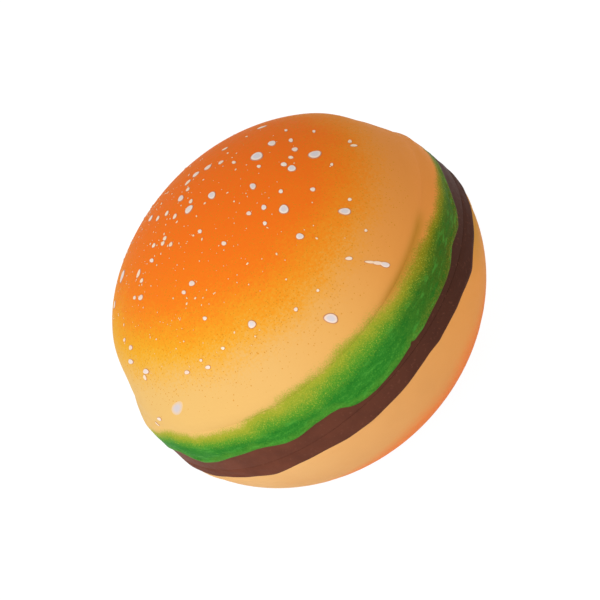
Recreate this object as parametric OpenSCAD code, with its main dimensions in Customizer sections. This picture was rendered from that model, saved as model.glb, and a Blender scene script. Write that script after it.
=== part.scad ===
// Burger-shaped flip telephone.
// The upper bun and the lettuce are a hinged lid that carries the earpiece. The patty and the
// lower bun are the base, with the keypad, the line circuit, the microphone and the ringer.
// Z = 0 is the table, +Z is up, the hinge is at the back (+Y) and the user sits at the front (-Y).

/* [Burger shape] */
// Widest diameter, over the lettuce
burger_d = 140; // [132:1:170]
// Height of the widest level above the table
waist_z = 51; // [49:1:62]
// Rise of the crown above the widest level
crown_rise = 58; // [50:1:72]
// Depth that the flat underside slices off the lower bun's oval
belly_cut = 7; // [5:1:9]
// Height of the lettuce band above the widest level
lettuce_up = 15; // [14:1:20]
// Depth of the lettuce's lowest points below the widest level
lettuce_drop = 4.8; // [4:0.1:5.4]
// Number of scallops round the lettuce's lower edge
scallops = 17; // [11:1:23]
// Depth of the patty's lower edge below the widest level
patty_drop = 12.8; // [12:0.1:15]
// Wall of the moulded bun shells
wall = 2.6; // [2:0.1:3.2]

/* [Hinge] */
// Radius of the hinge barrel
barrel_r = 4; // [3.6:0.1:4.4]
// Half length of the lid's knuckle
knuckle_half = 8; // [7:0.5:9]
// Length of each of the base's knuckles
side_knuckle = 8.6; // [8:0.2:9.4]
// Diameter of the steel hinge pin
pin_d = 3; // [2.5:0.1:3.2]
// Outer diameter of the hollow bush that the lead passes through
bush_d = 4.5; // [4.2:0.1:5]

/* [Keypad] */
// Length of a dialling key, left to right
key_w = 15; // [12:0.5:17]
// Width of a dialling key, front to back
key_l = 11; // [9:0.5:12]
// Distance between key columns
pitch_x = 21; // [20:0.5:22]
// Distance between key rows
pitch_y = 15; // [14.6:0.1:16]
// Travel of a key
key_travel = 1.2; // [0.8:0.1:1.4]
// Depth of the keypad deck below the patty's rim
key_well = 4; // [3.5:0.1:5]
// Thickness of the keypad deck
deck_t = 2.5; // [2:0.1:3]

/* [Line socket] */
// Width of the six-way modular socket body
jack_w = 14; // [13:0.2:15]
// Height of the socket body
jack_h = 12.4; // [12:0.1:13]
// Depth of the socket body
jack_depth = 12; // [11:0.5:13]

/* [Earpiece] */
// Diameter of the receiver's basket
receiver_d = 38.8; // [34:0.2:44]
// Distance of the receiver's centre in front of the middle
receiver_y = -14; // [-20:1:0]

/* [Ringer and ballast] */
// Diameter of the ringer's housing
ringer_d = 28; // [24:1:30]
// Thickness of the steel ballast plate
ballast_t = 6; // [3:0.5:8]

/* [Hidden] */
$fn = 96;

// ---- clearances ----
running = 0.05;   // pin or bush in its bore, on the radius
slip = 0.3;       // between neighbouring mouldings
key_gap = 0.35;   // round each key in its window
touch = 0.05;     // between a key and its rubber dome

// ---- bun ovals ----
bun_r = burger_d / 2;
foot_proud = 1.6;
underside_z = foot_proud;
belly_rise = waist_z + belly_cut;

// ---- levels ----
crease_z = waist_z + lettuce_up;
lettuce_edge_z = waist_z - lettuce_drop;
lid_face_z = waist_z;
rim_gap = 0.5;
rim_z = lid_face_z - rim_gap;
patty_low_z = waist_z - patty_drop;
plate_t = 2.4;
plate_top_z = lid_face_z + plate_t;
deck_top_z = rim_z - key_well;
deck_low_z = deck_top_z - deck_t;

// ---- rings between the buns ----
skirt_t = 1.1;
skirt_in_r = bun_r - skirt_t;
patty_r = bun_r - 1;
patty_rim_r = skirt_in_r - 0.5;
patty_t = 2;
patty_in_r = patty_rim_r - patty_t;
ledge = 2.6;
plate_r = bun_r - 3.3;
deck_r = patty_in_r - 0.4;
lettuce_in_r = bun_r - 6;
lettuce_wall_r = bun_r - 2.8;

// ---- hinge ----
hinge_y = bun_r - 2.5;
hinge_z = lettuce_edge_z - 0.2;
knuckle_gap = 0.4;
side_start = knuckle_half + knuckle_gap;
side_end = side_start + side_knuckle;
notch_half = side_end + 1.5;
wall_back_y = hinge_y - barrel_r - 1.2;
wall_front_y = wall_back_y - 1.9;
rear_wall_half = notch_half + 1;
notch_top_z = hinge_z + barrel_r + 8;
shelf_t = 2;
lead_d = 1.2;
lead_bend = 2.4;
lead_bore_r = 1.4;
lead_x = side_end - 2.7;
lead_tilt = 30;
lead_meet_x = knuckle_half + knuckle_gap / 2;
wire_d = 1.4;
bush_from = 3.5;
bush_to = side_start + 4.4;
pin_from = 3;

// ---- posts that join the mouldings ----
post_xy = (deck_r - 14) * cos(45);
post_r = 4;
column_r = 5;
column_top_z = waist_z - 20;
seat_z = waist_z - 30;
head_r = 2.9;
screw_r = 1.4;
pilot_r = 1.45;
clear_r = 1.7;

// ---- keys ----
KEY_NAMES = ["1", "2", "3", "4", "5", "6", "7", "8", "9", "star", "0", "hash"];
EXTRA_NAMES = ["redial", "flash", "mute"];
keypad_top_y = 26;
extra_w = 13;
extra_l = 7;
extra_pitch = 19;
extra_y = keypad_top_y - 3 * pitch_y - 17;
key_top_z = lid_face_z - 1.2;
flange = 1.2;
flange_t = 1;
flange_top_z = deck_low_z - 0.2;
stem_z = flange_top_z - flange_t - 0.6;
stem_r = 3;

// ---- rubber mat and circuit board ----
dome_h = key_travel + 1.3;
mat_t = 1;
mat_top_z = stem_z - touch - dome_h;
board_t = 1.6;
board_top_z = mat_top_z - mat_t;
board_low_z = board_top_z - board_t;
board_half_w = 33;
board_back_y = keypad_top_y + 14;
board_front_y = extra_y - 10;
boss_x = 28;
boss_back_y = keypad_top_y + 11;
boss_front_y = extra_y - 7;
boss_r = 2.5;

// ---- hook button, its spring and its switch ----
hook_travel = 3;
hook_head_r = 3.5;
hook_flange_r = 4.4;
hook_flange_t = 1.3;
hook_stem_r = 1.4;
hook_bore_r = 4.7;
hook_tube_r = 6;
hook_floor_z = deck_low_z - 17;
hook_floor_t = 1.5;
hook_flange_z = deck_low_z - hook_travel - hook_flange_t - 0.2;
hook_stem_z = hook_floor_z - 4.5;
hook_switch_h = 8;
spring_r = 3.6;
spring_wire_r = 0.3;
spring_turns = 6;

// ---- microphone ----
mic_y = -(deck_r - 14);
mic_r = 4.85;
mic_h = 6.3;
mic_lip = 0.5;
mic_low_z = deck_low_z - mic_lip - mic_h;
mic_boot_r = mic_r + 1.35;
mic_boot_z = mic_low_z - 0.2;
mic_tube_r = mic_boot_r + 1.1;

// ---- receiver ----
receiver_rim = 1.8;
basket_h = 7.8;
basket_t = 1.4;
basket_top_z = plate_top_z + basket_h;
magnet_r = 9;
magnet_h = 5;
clip_t = 1.2;
clip_w = 7;
clip_screw_r = receiver_d / 2 + 4.6;

// ---- line socket ----
jack_low_z = waist_z - 29.2;
jack_face_y = oval_r(jack_low_z, 0, belly_rise) - 0.5;
hook_y = jack_face_y - jack_depth - hook_tube_r - 1.6;

// ---- underside ----
floor_z = underside_z + wall;
ringer_y = -20;
ringer_h = 8;
ringer_t = 1.4;
disc_z = 3.5;
disc_t = 0.45;
switch_x = 11;
switch_y = 27;
switch_l = 14;
switch_w = 7;
switch_h = 5.5;
slider_l = 5.6;
slider_w = 4.6;
slider_t = 2;
slider_throw = 2.4;
knob_l = 3.6;
knob_w = 3.4;
slot_l = knob_l + 2 * slider_throw + 1.2;
slot_w = knob_w + 0.8;
foot_ring_r = 30;
foot_r = 5;
foot_sink = 0.8;

// ---- colours ----
crust = "#E8761C";
crumb = "#E9B06A";
leaf = "#3D8B23";
meat = "#5A3029";
cream = "#F1DDB2";
steel = "silver";

// Radius of a bun's oval at height z, taken inwards by a wall
function oval_r(z, inset, rise) =
    (bun_r - inset) * sqrt(max(0, 1 - pow((z - waist_z) / (rise - inset), 2)));

// Points of a bun's oval, from the angle at height z1 to the one at z2
function oval_arc(z1, z2, inset, rise, steps) =
    let (a1 = asin(max(-1, min(1, (z1 - waist_z) / (rise - inset)))),
         a2 = asin(max(-1, min(1, (z2 - waist_z) / (rise - inset)))))
    [for (i = [0:steps]) let (a = a1 + (a2 - a1) * i / steps)
        [(bun_r - inset) * cos(a), waist_z + (rise - inset) * sin(a)]];

function key_spot(i) =
    [(i % 3 - 1) * pitch_x, keypad_top_y - floor(i / 3) * pitch_y];

function extra_spot(i) = [(i - 1) * extra_pitch, extra_y];

// Four corner places at +-x, +-y
function corners(x, y) = [for (sx = [-1, 1], sy = [-1, 1]) [sx * x, sy * y]];

function unit(v) = v / norm(v);

// Smooth curve through points: Catmull-Rom, with the end points held
function smooth(p, steps) = concat(
    [for (i = [0:len(p) - 2], k = [0:steps - 1])
        let (a = p[max(0, i - 1)], b = p[i], c = p[i + 1], d = p[min(len(p) - 1, i + 2)],
             t = k / steps)
        0.5 * (2 * b + (c - a) * t + (2 * a - 5 * b + 4 * c - d) * t * t
               + (3 * b - a - 3 * c + d) * t * t * t)],
    [p[len(p) - 1]]);

// Round bend of radius r at a corner, from the direction side to the direction along
function elbow(corner, side, along, r) = [for (a = [0:22.5:90])
    corner + r * (side + along) - r * (cos(a) * along + sin(a) * side)];

// Round tube of radius r along points p; side is a direction that p never runs along
module tube(p, r, side, sides = 8) {
    n = len(p);
    rings = [for (i = [0:n - 1])
        let (t = unit(p[min(n - 1, i + 1)] - p[max(0, i - 1)]),
             u = unit(cross(side, t)), v = cross(t, u))
        for (j = [0:sides - 1]) p[i] + r * (cos(360 * j / sides) * u + sin(360 * j / sides) * v)];
    skin = [for (i = [0:n - 2], j = [0:sides - 1])
        let (k = (j + 1) % sides)
        [i * sides + k, i * sides + j, (i + 1) * sides + j, (i + 1) * sides + k]];
    near = [for (j = [0:sides - 1]) j];
    far = [for (j = [0:sides - 1]) n * sides - 1 - j];
    polyhedron(rings, concat([near], skin, [far]));
}

module stadium(w, l, h) {
    linear_extrude(h) {
        square([w - l, l], center = true);
        for (s = [-1, 1]) translate([s * (w - l) / 2, 0]) circle(d = l);
    }
}

module at(places) {
    for (p = places) translate([p[0], p[1], 0]) children();
}

// Box between two corners
module block(low, high) {
    translate(low) cube(high - low);
}

module along_x(x1, x2, r) {
    translate([x1, hinge_y, hinge_z]) rotate([0, 90, 0]) cylinder(r = r, h = x2 - x1);
}

// Full solid inside a bun's oval, to trim what grows from the shell's inside
module upper_fill(inset) {
    rotate_extrude() polygon(concat([[0, waist_z]],
        oval_arc(waist_z, waist_z + crown_rise - inset, inset, crown_rise, 18)));
}

module lower_fill(inset) {
    low_z = underside_z + inset;
    rotate_extrude() polygon(concat([[0, waist_z], [0, low_z]],
        oval_arc(low_z, waist_z, inset, belly_rise, 18)));
}

// ================= lid =================

// Domed shell, with a spigot that drops inside the lettuce and four long screw posts
module top_bun() {
    lip_z = crease_z + 2.6;
    spigot_r = lettuce_in_r - 0.8;
    flange_r = oval_r(crease_z, wall, crown_rise) + 1;
    color(crust) difference() {
        union() {
            rotate_extrude() polygon(concat(
                [[oval_r(crease_z, 0, crown_rise) - 0.9, crease_z],
                 [oval_r(crease_z + 1, 0, crown_rise) - 0.35, crease_z + 1]],
                oval_arc(lip_z, waist_z + crown_rise, 0, crown_rise, 26),
                oval_arc(waist_z + crown_rise - wall, crease_z, wall, crown_rise, 22)));
            rotate_extrude() polygon([
                [spigot_r - 2, crease_z - 3], [spigot_r, crease_z - 3],
                [spigot_r, crease_z], [flange_r, crease_z],
                [flange_r - 0.6, crease_z + 2.4], [spigot_r - 2, crease_z + 2.4]]);
            intersection() {
                at(corners(post_xy, post_xy)) translate([0, 0, plate_top_z])
                    cylinder(r = post_r, h = crown_rise);
                upper_fill(wall / 2);
            }
        }
        at(corners(post_xy, post_xy)) translate([0, 0, plate_top_z - 1])
            cylinder(r = pilot_r, h = 12);
    }
}

// Rolled band with a skirt that hangs over the patty's rim and a scalloped lower edge
module lettuce_ring() {
    color(leaf) difference() {
        rotate_extrude() polygon([
            [lettuce_in_r - 0.6, crease_z],
            [oval_r(crease_z, 0, crown_rise) - 0.7, crease_z],
            [bun_r - 2.7, crease_z - 1.6], [bun_r - 1.5, crease_z - 4.4],
            [bun_r - 0.6, crease_z - 7.6], [bun_r - 0.1, crease_z - 10.6],
            [bun_r, crease_z - 14], [bun_r - 0.1, crease_z - 17.5],
            [bun_r - 0.3, lettuce_edge_z], [skirt_in_r, lettuce_edge_z],
            [skirt_in_r, lid_face_z - 0.1], [bun_r - 3, lid_face_z - 0.1],
            [bun_r - 3, plate_top_z], [lettuce_in_r, plate_top_z],
            [lettuce_in_r, plate_top_z + 2.2], [lettuce_wall_r, plate_top_z + 2.4],
            [lettuce_wall_r, crease_z - 9], [bun_r - 3.8, crease_z - 5.4],
            [lettuce_in_r - 0.6, crease_z - 2.4]]);
        for (i = [0:scallops - 1]) {
            turn = 360 * (i + 0.5) / scallops + 4 * sin(137 * i);
            deep = 2.4 + 0.8 * sin(83 * i);
            round_r = 11 + 2.4 * sin(61 * i);
            rotate([0, 0, turn]) translate([bun_r - 4, 0, lettuce_edge_z - round_r + deep])
                rotate([0, 90, 0]) cylinder(r = round_r, h = 10);
        }
        // opening for the hinge
        block([-notch_half, 40, 0], [notch_half, bun_r + 5, notch_top_z]);
        intersection() {
            block([-rear_wall_half - 0.5, 40, 0], [rear_wall_half + 0.5, bun_r, notch_top_z + 2.4]);
            cylinder(r = lettuce_wall_r, h = crease_z);
        }
    }
}

// Inner face of the lid: sound holes, receiver collar, rear wall and the middle hinge knuckle
module earpiece_plate() {
    collar_in_r = receiver_d / 2 + slip;
    upright_back = hinge_y + 1;
    color(cream) difference() {
        union() {
            difference() {
                translate([0, 0, lid_face_z]) cylinder(r = plate_r, h = plate_t);
                block([-rear_wall_half, wall_back_y, 0], [rear_wall_half, bun_r, crease_z]);
            }
            translate([0, receiver_y, plate_top_z]) difference() {
                cylinder(r = collar_in_r + 2, h = receiver_rim);
                translate([0, 0, -1]) cylinder(r = collar_in_r, h = 4);
            }
            at(receiver_screw_spots()) translate([0, 0, plate_top_z]) cylinder(r = 2.6, h = receiver_rim);
            block([-rear_wall_half, wall_front_y, lid_face_z],
                  [rear_wall_half, wall_back_y, notch_top_z + shelf_t]);
            intersection() {
                block([-notch_half + slip, wall_front_y, notch_top_z],
                      [notch_half - slip, bun_r, notch_top_z + shelf_t]);
                cylinder(r = lettuce_wall_r - slip, h = crease_z);
            }
            block([-knuckle_half, wall_back_y - 0.3, lid_face_z],
                  [knuckle_half, hinge_y - 0.7, notch_top_z + 1]);
            block([-knuckle_half, wall_back_y + 0.6, hinge_z],
                  [knuckle_half, upright_back, notch_top_z - slip]);
            along_x(-knuckle_half, knuckle_half, barrel_r);
        }
        // earpiece dish and sound holes
        translate([0, receiver_y, lid_face_z - 1]) cylinder(r = 21, h = 1.8);
        at(sound_holes()) translate([0, receiver_y, lid_face_z - 1]) cylinder(r = 1.1, h = 6);
        at(receiver_screw_spots()) translate([0, 0, lid_face_z + 0.9]) cylinder(r = 0.95, h = 6);
        // lid screws
        at(corners(post_xy, post_xy)) translate([0, 0, lid_face_z - 1]) {
            cylinder(r = clear_r, h = 6);
            cylinder(r = head_r + 0.4, h = 2.2);
        }
        // pin on the left, bush and lead on the right
        along_x(-knuckle_half - 1, -pin_from + 0.2, pin_d / 2 + running);
        along_x(bush_from - 0.2, knuckle_half + 1, bush_d / 2 + running);
        along_x(-lead_bore_r, bush_from, lead_bore_r);
        translate([0, hinge_y, hinge_z]) rotate([lead_tilt, 0, 0])
            cylinder(r = lead_bore_r, h = 16);
    }
}

function sound_holes() = concat([[0, 0]],
    [for (k = [0:5]) 5.4 * [cos(60 * k), sin(60 * k)]],
    [for (k = [0:11]) 10.8 * [cos(30 * k + 15), sin(30 * k + 15)]],
    [for (k = [0:17]) 16.2 * [cos(20 * k), sin(20 * k)]]);

function receiver_screw_spots() =
    [for (k = [0:2]) let (a = 120 * k + 90)
        [clip_screw_r * cos(a), receiver_y + clip_screw_r * sin(a)]];

module screw(seat, length, head_h, up = 1) {
    translate([0, 0, seat]) mirror([0, 0, up > 0 ? 0 : 1]) {
        translate([0, 0, -head_h]) cylinder(r = head_r, h = head_h);
        cylinder(r = screw_r, h = length);
    }
}

module lid_screws() {
    color(steel) at(corners(post_xy, post_xy)) screw(lid_face_z + 1.2, 11, 1);
}

// Pressed frame of the receiver, from its rim on the plate to the seat of its magnet
module receiver_basket() {
    r = receiver_d / 2;
    rim_w = 4;
    color("dimgray") translate([0, receiver_y, plate_top_z]) rotate_extrude() polygon([
        [r - rim_w, 0], [r, 0], [r, receiver_rim], [r - rim_w + basket_t, receiver_rim],
        [magnet_r + 2, basket_h], [0, basket_h], [0, basket_h - basket_t],
        [magnet_r + 1.4, basket_h - basket_t], [r - rim_w, receiver_rim - 0.2]]);
}

// Paper cone with its dust cap and voice coil
module receiver_cone() {
    edge_r = receiver_d / 2 - 4.1;
    coil_r = 5;
    color("black") translate([0, receiver_y, plate_top_z]) rotate_extrude() polygon([
        [0, 3.2], [4, 3.0], [coil_r, 2.4], [coil_r, 5.2], [coil_r + 0.4, 5.2], [coil_r + 0.6, 2.6],
        [edge_r, 0.5], [edge_r, 0.2], [coil_r + 0.2, 2], [4, 2.6], [0, 2.8]]);
}

module receiver_magnet() {
    color(steel) translate([0, receiver_y, basket_top_z]) cylinder(r = magnet_r, h = magnet_h);
}

module receiver_clips() {
    color(steel) for (k = [0:2]) translate([0, receiver_y, plate_top_z + receiver_rim])
        rotate([0, 0, 120 * k + 90]) difference() {
            translate([receiver_d / 2 - 2, -clip_w / 2, 0])
                cube([clip_screw_r + 5 - receiver_d / 2, clip_w, clip_t]);
            translate([clip_screw_r, 0, -1]) cylinder(r = 1.2, h = clip_t + 2);
        }
}

module receiver_screws() {
    head_z = plate_top_z + receiver_rim + clip_t;
    color(steel) at(receiver_screw_spots()) {
        translate([0, 0, head_z]) cylinder(r = 2, h = 1.4);
        translate([0, 0, head_z - 4.2]) cylinder(r = 0.9, h = 4.3);
    }
}

// The two leads meet on the hinge axis, in the gap between the knuckles
module lid_lead() {
    up = [0, -sin(lead_tilt), cos(lead_tilt)];
    turn = [0, hinge_y, hinge_z];
    tag_y = receiver_y + magnet_r + 1;
    color("gray") tube(concat(
        [[lead_meet_x, hinge_y, hinge_z]],
        elbow(turn, [1, 0, 0], up, lead_bend),
        smooth([turn + 14 * up, [0, 56, 62.5], [0, 46, 65], [0, 30, 66], [0, 12, 67.5],
                [0, 0, 68], [0, tag_y + 0.5, 65.5], [0, tag_y, 63]], 4),
        [[0, tag_y, basket_top_z]]), lead_d / 2, [1, 0, -1]);
}

// ================= base =================

// Brown band with the ledge that carries the deck, and the two outer hinge knuckles
module patty_ring() {
    low_r = oval_r(patty_low_z, 0, belly_rise) + 0.3;
    color(meat) difference() {
        union() {
            difference() {
                rotate_extrude() polygon([
                    [patty_in_r - 0.2, patty_low_z], [low_r, patty_low_z],
                    [patty_r - 0.15, patty_low_z + 1.6], [patty_r, patty_low_z + 4],
                    [patty_r, patty_low_z + 6], [patty_r - 0.25, patty_low_z + 8],
                    [patty_rim_r, patty_low_z + 9.6], [patty_rim_r, rim_z],
                    [patty_in_r, rim_z], [patty_in_r, deck_low_z],
                    [patty_in_r - ledge, deck_low_z], [patty_in_r - ledge, deck_low_z - 2],
                    [patty_in_r - 0.2, deck_low_z - 3]]);
                intersection() {
                    block([-rear_wall_half - slip, 40, patty_low_z + 3],
                          [rear_wall_half + slip, bun_r, rim_z + 1]);
                    cylinder(r = patty_in_r - 0.1, h = crease_z);
                }
                block([-notch_half, 40, hinge_z - barrel_r - slip], [notch_half, bun_r + 9, crease_z]);
                block([-side_start, 40, patty_low_z + 2], [side_start, bun_r + 9, crease_z]);
            }
            for (side = [-1, 1]) {
                x1 = side > 0 ? side_start : -side_end;
                x2 = x1 + side_knuckle;
                block([x1, wall_back_y + slip, patty_low_z], [x2, hinge_y + 1, hinge_z]);
                along_x(x1, x2, barrel_r);
            }
        }
        along_x(-side_end - 1, -side_start + 1, pin_d / 2 + running);
        along_x(side_start - 1, bush_to + 0.2, bush_d / 2 + running);
        along_x(bush_to, side_end - 1.3, lead_bore_r);
        translate([lead_x, hinge_y, hinge_z]) rotate([180 - lead_tilt, 0, 0])
            cylinder(r = lead_bore_r, h = 16);
    }
}

// Lower shell: flat underside, screw columns, socket pocket, switch slots and sound holes
module bottom_bun() {
    spigot_r = patty_in_r - 0.5;
    pocket = 0.2;
    color(crumb) difference() {
        union() {
            rotate_extrude() polygon(concat(
                [[0, floor_z], [0, underside_z]],
                oval_arc(underside_z, patty_low_z, 0, belly_rise, 20),
                oval_arc(patty_low_z, floor_z, wall, belly_rise, 18)));
            difference() {
                rotate_extrude() polygon([
                    [spigot_r - 2.2, patty_low_z - 2.4], [spigot_r - 0.9, patty_low_z - 2.4],
                    [spigot_r, patty_low_z], [spigot_r, patty_low_z + 2.6],
                    [spigot_r - 2.2, patty_low_z + 2.6]]);
                block([-rear_wall_half, 40, 0], [rear_wall_half, bun_r, crease_z]);
            }
            intersection() {
                union() {
                    at(corners(post_xy, post_xy)) cylinder(r = column_r, h = column_top_z);
                    block([-jack_w / 2 - 3, jack_face_y - jack_depth - 0.4, jack_low_z - 3],
                          [jack_w / 2 + 3, bun_r, jack_low_z + jack_h + 2.4]);
                }
                lower_fill(wall / 2);
            }
        }
        at(corners(post_xy, post_xy)) {
            cylinder(r = clear_r, h = waist_z);
            cylinder(r = head_r + 0.5, h = seat_z);
        }
        // pocket for the line socket, open through the shell
        block([-jack_w / 2 - pocket, jack_face_y - jack_depth - 4, jack_low_z - pocket],
              [jack_w / 2 + pocket, bun_r + 5, jack_low_z + jack_h + pocket]);
        // sound holes under the ringer
        at([[0, ringer_y], for (k = [0:5]) [6 * cos(60 * k), ringer_y + 6 * sin(60 * k)]])
            cylinder(r = 1.2, h = floor_z + 1);
        // slots for the two slide switches
        for (s = [-1, 1]) translate([s * switch_x, switch_y, floor_z / 2])
            cube([slot_l, slot_w, floor_z + 1], center = true);
        // seats for the feet
        at(corners(foot_ring_r * cos(45), foot_ring_r * cos(45)))
            cylinder(r = foot_r + 0.1, h = underside_z + foot_sink);
    }
}

// Inner face of the base, with the key windows and what hangs under it
module keypad_deck() {
    color("#6B3B30") difference() {
        union() {
            difference() {
                translate([0, 0, deck_low_z]) cylinder(r = deck_r, h = deck_t);
                block([-40, wall_back_y, 0], [40, bun_r, crease_z]);
            }
            block([-rear_wall_half, wall_front_y, hinge_z - barrel_r - 0.8],
                  [rear_wall_half, wall_back_y, rim_z]);
            at(corners(post_xy, post_xy)) translate([0, 0, column_top_z + slip])
                cylinder(r = post_r, h = deck_low_z + 0.5 - column_top_z - slip);
            at(board_screw_spots()) translate([0, 0, board_top_z])
                cylinder(r = boss_r, h = deck_low_z + 0.5 - board_top_z);
            translate([0, hook_y, hook_floor_z])
                cylinder(r = hook_tube_r, h = deck_low_z + 0.5 - hook_floor_z);
            translate([0, mic_y, mic_boot_z]) cylinder(r = mic_tube_r, h = deck_low_z + 0.5 - mic_boot_z);
        }
        at([for (i = [0:11]) key_spot(i)]) translate([0, 0, deck_low_z - 1])
            stadium(key_w + 2 * key_gap, key_l + 2 * key_gap, deck_t + 2);
        at([for (i = [0:2]) extra_spot(i)]) translate([0, 0, deck_low_z - 1])
            stadium(extra_w + 2 * key_gap, extra_l + 2 * key_gap, deck_t + 2);
        at(corners(post_xy, post_xy)) cylinder(r = pilot_r, h = column_top_z + 11);
        at(board_screw_spots()) cylinder(r = 1.15, h = deck_low_z + 0.6);
        // hook tube: bore, head hole and stem hole
        translate([0, hook_y, hook_floor_z + hook_floor_t])
            cylinder(r = hook_bore_r, h = deck_low_z - hook_floor_z - hook_floor_t);
        translate([0, hook_y, hook_floor_z + hook_floor_t])
            cylinder(r = hook_head_r + 0.25, h = waist_z);
        translate([0, hook_y, 0]) cylinder(r = hook_stem_r + slip, h = waist_z);
        // microphone seat and holes
        translate([0, mic_y, mic_boot_z - 1])
            cylinder(r = mic_boot_r + 0.1, h = deck_low_z - mic_boot_z + 1);
        at([[0, mic_y], for (k = [0:3]) [2.6 * cos(90 * k), mic_y + 2.6 * sin(90 * k)]])
            cylinder(r = 0.8, h = waist_z);
        // way through for the lead
        block([lead_x - 2, wall_front_y - 1, 0], [lead_x + 2, bun_r, hinge_z - barrel_r + 1.6]);
        // seats for the bumpers
        at(bumper_spots()) translate([0, 0, deck_top_z - 1]) cylinder(r = 2.05, h = 3);
    }
}

function board_screw_spots() =
    [for (s = [-1, 1]) each [[s * boss_x, boss_back_y], [s * (boss_x - 2), boss_front_y]]];

function bumper_spots() =
    [for (s = [-1, 1]) [s * (deck_r - 9) * cos(60), -(deck_r - 9) * sin(60)]];

// A key: cap, retaining flange and stem
module key(spot, w, l) {
    color(cream) translate([spot[0], spot[1], 0]) {
        translate([0, 0, flange_top_z]) stadium(w, l, key_top_z - 0.7 - flange_top_z);
        translate([0, 0, key_top_z - 0.7]) stadium(w - 1.2, l - 1.2, 0.7);
        translate([0, 0, flange_top_z - flange_t])
            stadium(w + 2 * flange, l + 2 * flange, flange_t);
        translate([0, 0, stem_z]) cylinder(r = stem_r, h = flange_top_z - stem_z);
    }
}

function all_key_spots() =
    concat([for (i = [0:11]) key_spot(i)], [for (i = [0:2]) extra_spot(i)]);

// Silicone mat with one hollow dome under each key
module key_mat() {
    color("lightgray") difference() {
        union() {
            difference() {
                block([-board_half_w + 1.6, board_front_y + 2, board_top_z],
                      [board_half_w - 1.6, board_back_y - 2, mat_top_z]);
                board_cutouts();
            }
            at(all_key_spots()) translate([0, 0, mat_top_z]) cylinder(r1 = 5, r2 = 3.4, h = dome_h);
        }
        at(all_key_spots()) translate([0, 0, board_top_z - 0.01])
            cylinder(r1 = 4, r2 = 2.6, h = mat_t + dome_h - 1);
        at(board_screw_spots()) cylinder(r = boss_r + 0.4, h = waist_z);
    }
}

// What the board and the mat leave free: hook tube, microphone and the screw posts
module board_cutouts() {
    translate([0, hook_y, 0]) cylinder(r = hook_tube_r + 0.8, h = waist_z);
    translate([0, mic_y, 0]) cylinder(r = mic_tube_r + 0.7, h = waist_z);
    at(corners(post_xy, post_xy)) cylinder(r = post_r + 1, h = waist_z);
}

module circuit_board() {
    color("#7A8F3A") difference() {
        block([-board_half_w, board_front_y, board_low_z], [board_half_w, board_back_y, board_top_z]);
        board_cutouts();
        at(board_screw_spots()) cylinder(r = 1.4, h = waist_z);
    }
}

module board_screws() {
    color(steel) at(board_screw_spots()) {
        translate([0, 0, board_low_z - 1.5]) cylinder(r = 2.2, h = 1.5);
        translate([0, 0, board_low_z]) cylinder(r = 1.1, h = 6);
    }
}

// A chip with two rows of legs, hanging under the board
module chip(place, w, legs) {
    stand = 0.5;
    color("#222222") translate([place[0], place[1], board_low_z]) {
        block([-w / 2, -3.2, -3.6 - stand], [w / 2, 3.2, -stand]);
        for (k = [0:legs - 1], s = [-1, 1])
            block([(k - (legs - 1) / 2) * 2.54 - 0.25, s > 0 ? 3.1 : -3.8, -2.4],
                  [(k - (legs - 1) / 2) * 2.54 + 0.25, s > 0 ? 3.8 : -3.1, 0]);
    }
}

module dialler_chip() { chip([-14, 12], 23, 9); }

module speech_chip() { chip([-12, -8], 20, 8); }

module line_transformer() {
    color("#C9A23A") translate([20, 14, board_low_z]) {
        block([-8, -7, -3], [8, 7, 0]);
        block([-6, -8.5, -11], [6, 8.5, -3]);
        block([-8, -6, -9.5], [8, 6, -4.5]);
    }
}

module capacitors() {
    color("navy") for (c = [[-24, 27, 4, 12], [24, -8, 3.2, 11], [24, -20, 2.5, 11], [-26, -24, 2.5, 11]])
        translate([c[0], c[1], board_low_z - c[3]]) cylinder(r = c[2], h = c[3]);
}

module diodes() {
    color("black") for (k = [0:3]) translate([0, -22 - 4.2 * k, board_low_z - 1.4]) {
        rotate([0, 90, 0]) cylinder(r = 1.35, h = 5.2, center = true);
        block([-5, -0.3, 0], [5, 0.3, 1.4]);
    }
}

module crystal() {
    color(steel) translate([-3, 23, board_low_z - 3.6]) stadium(11, 4.6, 3.6);
}

// Hook button: the closed lid holds it down, and it rises as the lid opens
module hook_plunger() {
    top_z = lid_face_z - 2 * touch;
    color(cream) translate([0, hook_y, 0]) {
        translate([0, 0, hook_flange_z]) cylinder(r = hook_head_r, h = top_z - hook_flange_z);
        translate([0, 0, hook_flange_z]) cylinder(r = hook_flange_r, h = hook_flange_t);
        translate([0, 0, hook_stem_z]) cylinder(r = hook_stem_r, h = hook_flange_z + 0.5 - hook_stem_z);
    }
}

module hook_spring() {
    per_turn = 12;
    steps = spring_turns * per_turn;
    low = hook_floor_z + hook_floor_t + spring_wire_r + touch;
    high = hook_flange_z - spring_wire_r - touch;
    coil = [for (i = [0:steps]) let (a = 360 * i / per_turn)
        [spring_r * cos(a), hook_y + spring_r * sin(a), low + (high - low) * i / steps]];
    color(steel) tube(coil, spring_wire_r, [0, 0, 1], 6);
}

// Switch under the hook tube, with the well that the button's stem drops into
module hook_switch() {
    color("#222222") translate([0, hook_y, 0]) difference() {
        translate([-6, -5, hook_floor_z - hook_switch_h]) cube([12, 10, hook_switch_h]);
        translate([0, 0, hook_stem_z - slip]) cylinder(r = hook_stem_r + slip, h = 6);
    }
}

module microphone() {
    color(steel) translate([0, mic_y, mic_low_z]) cylinder(r = mic_r, h = mic_h);
}

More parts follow.
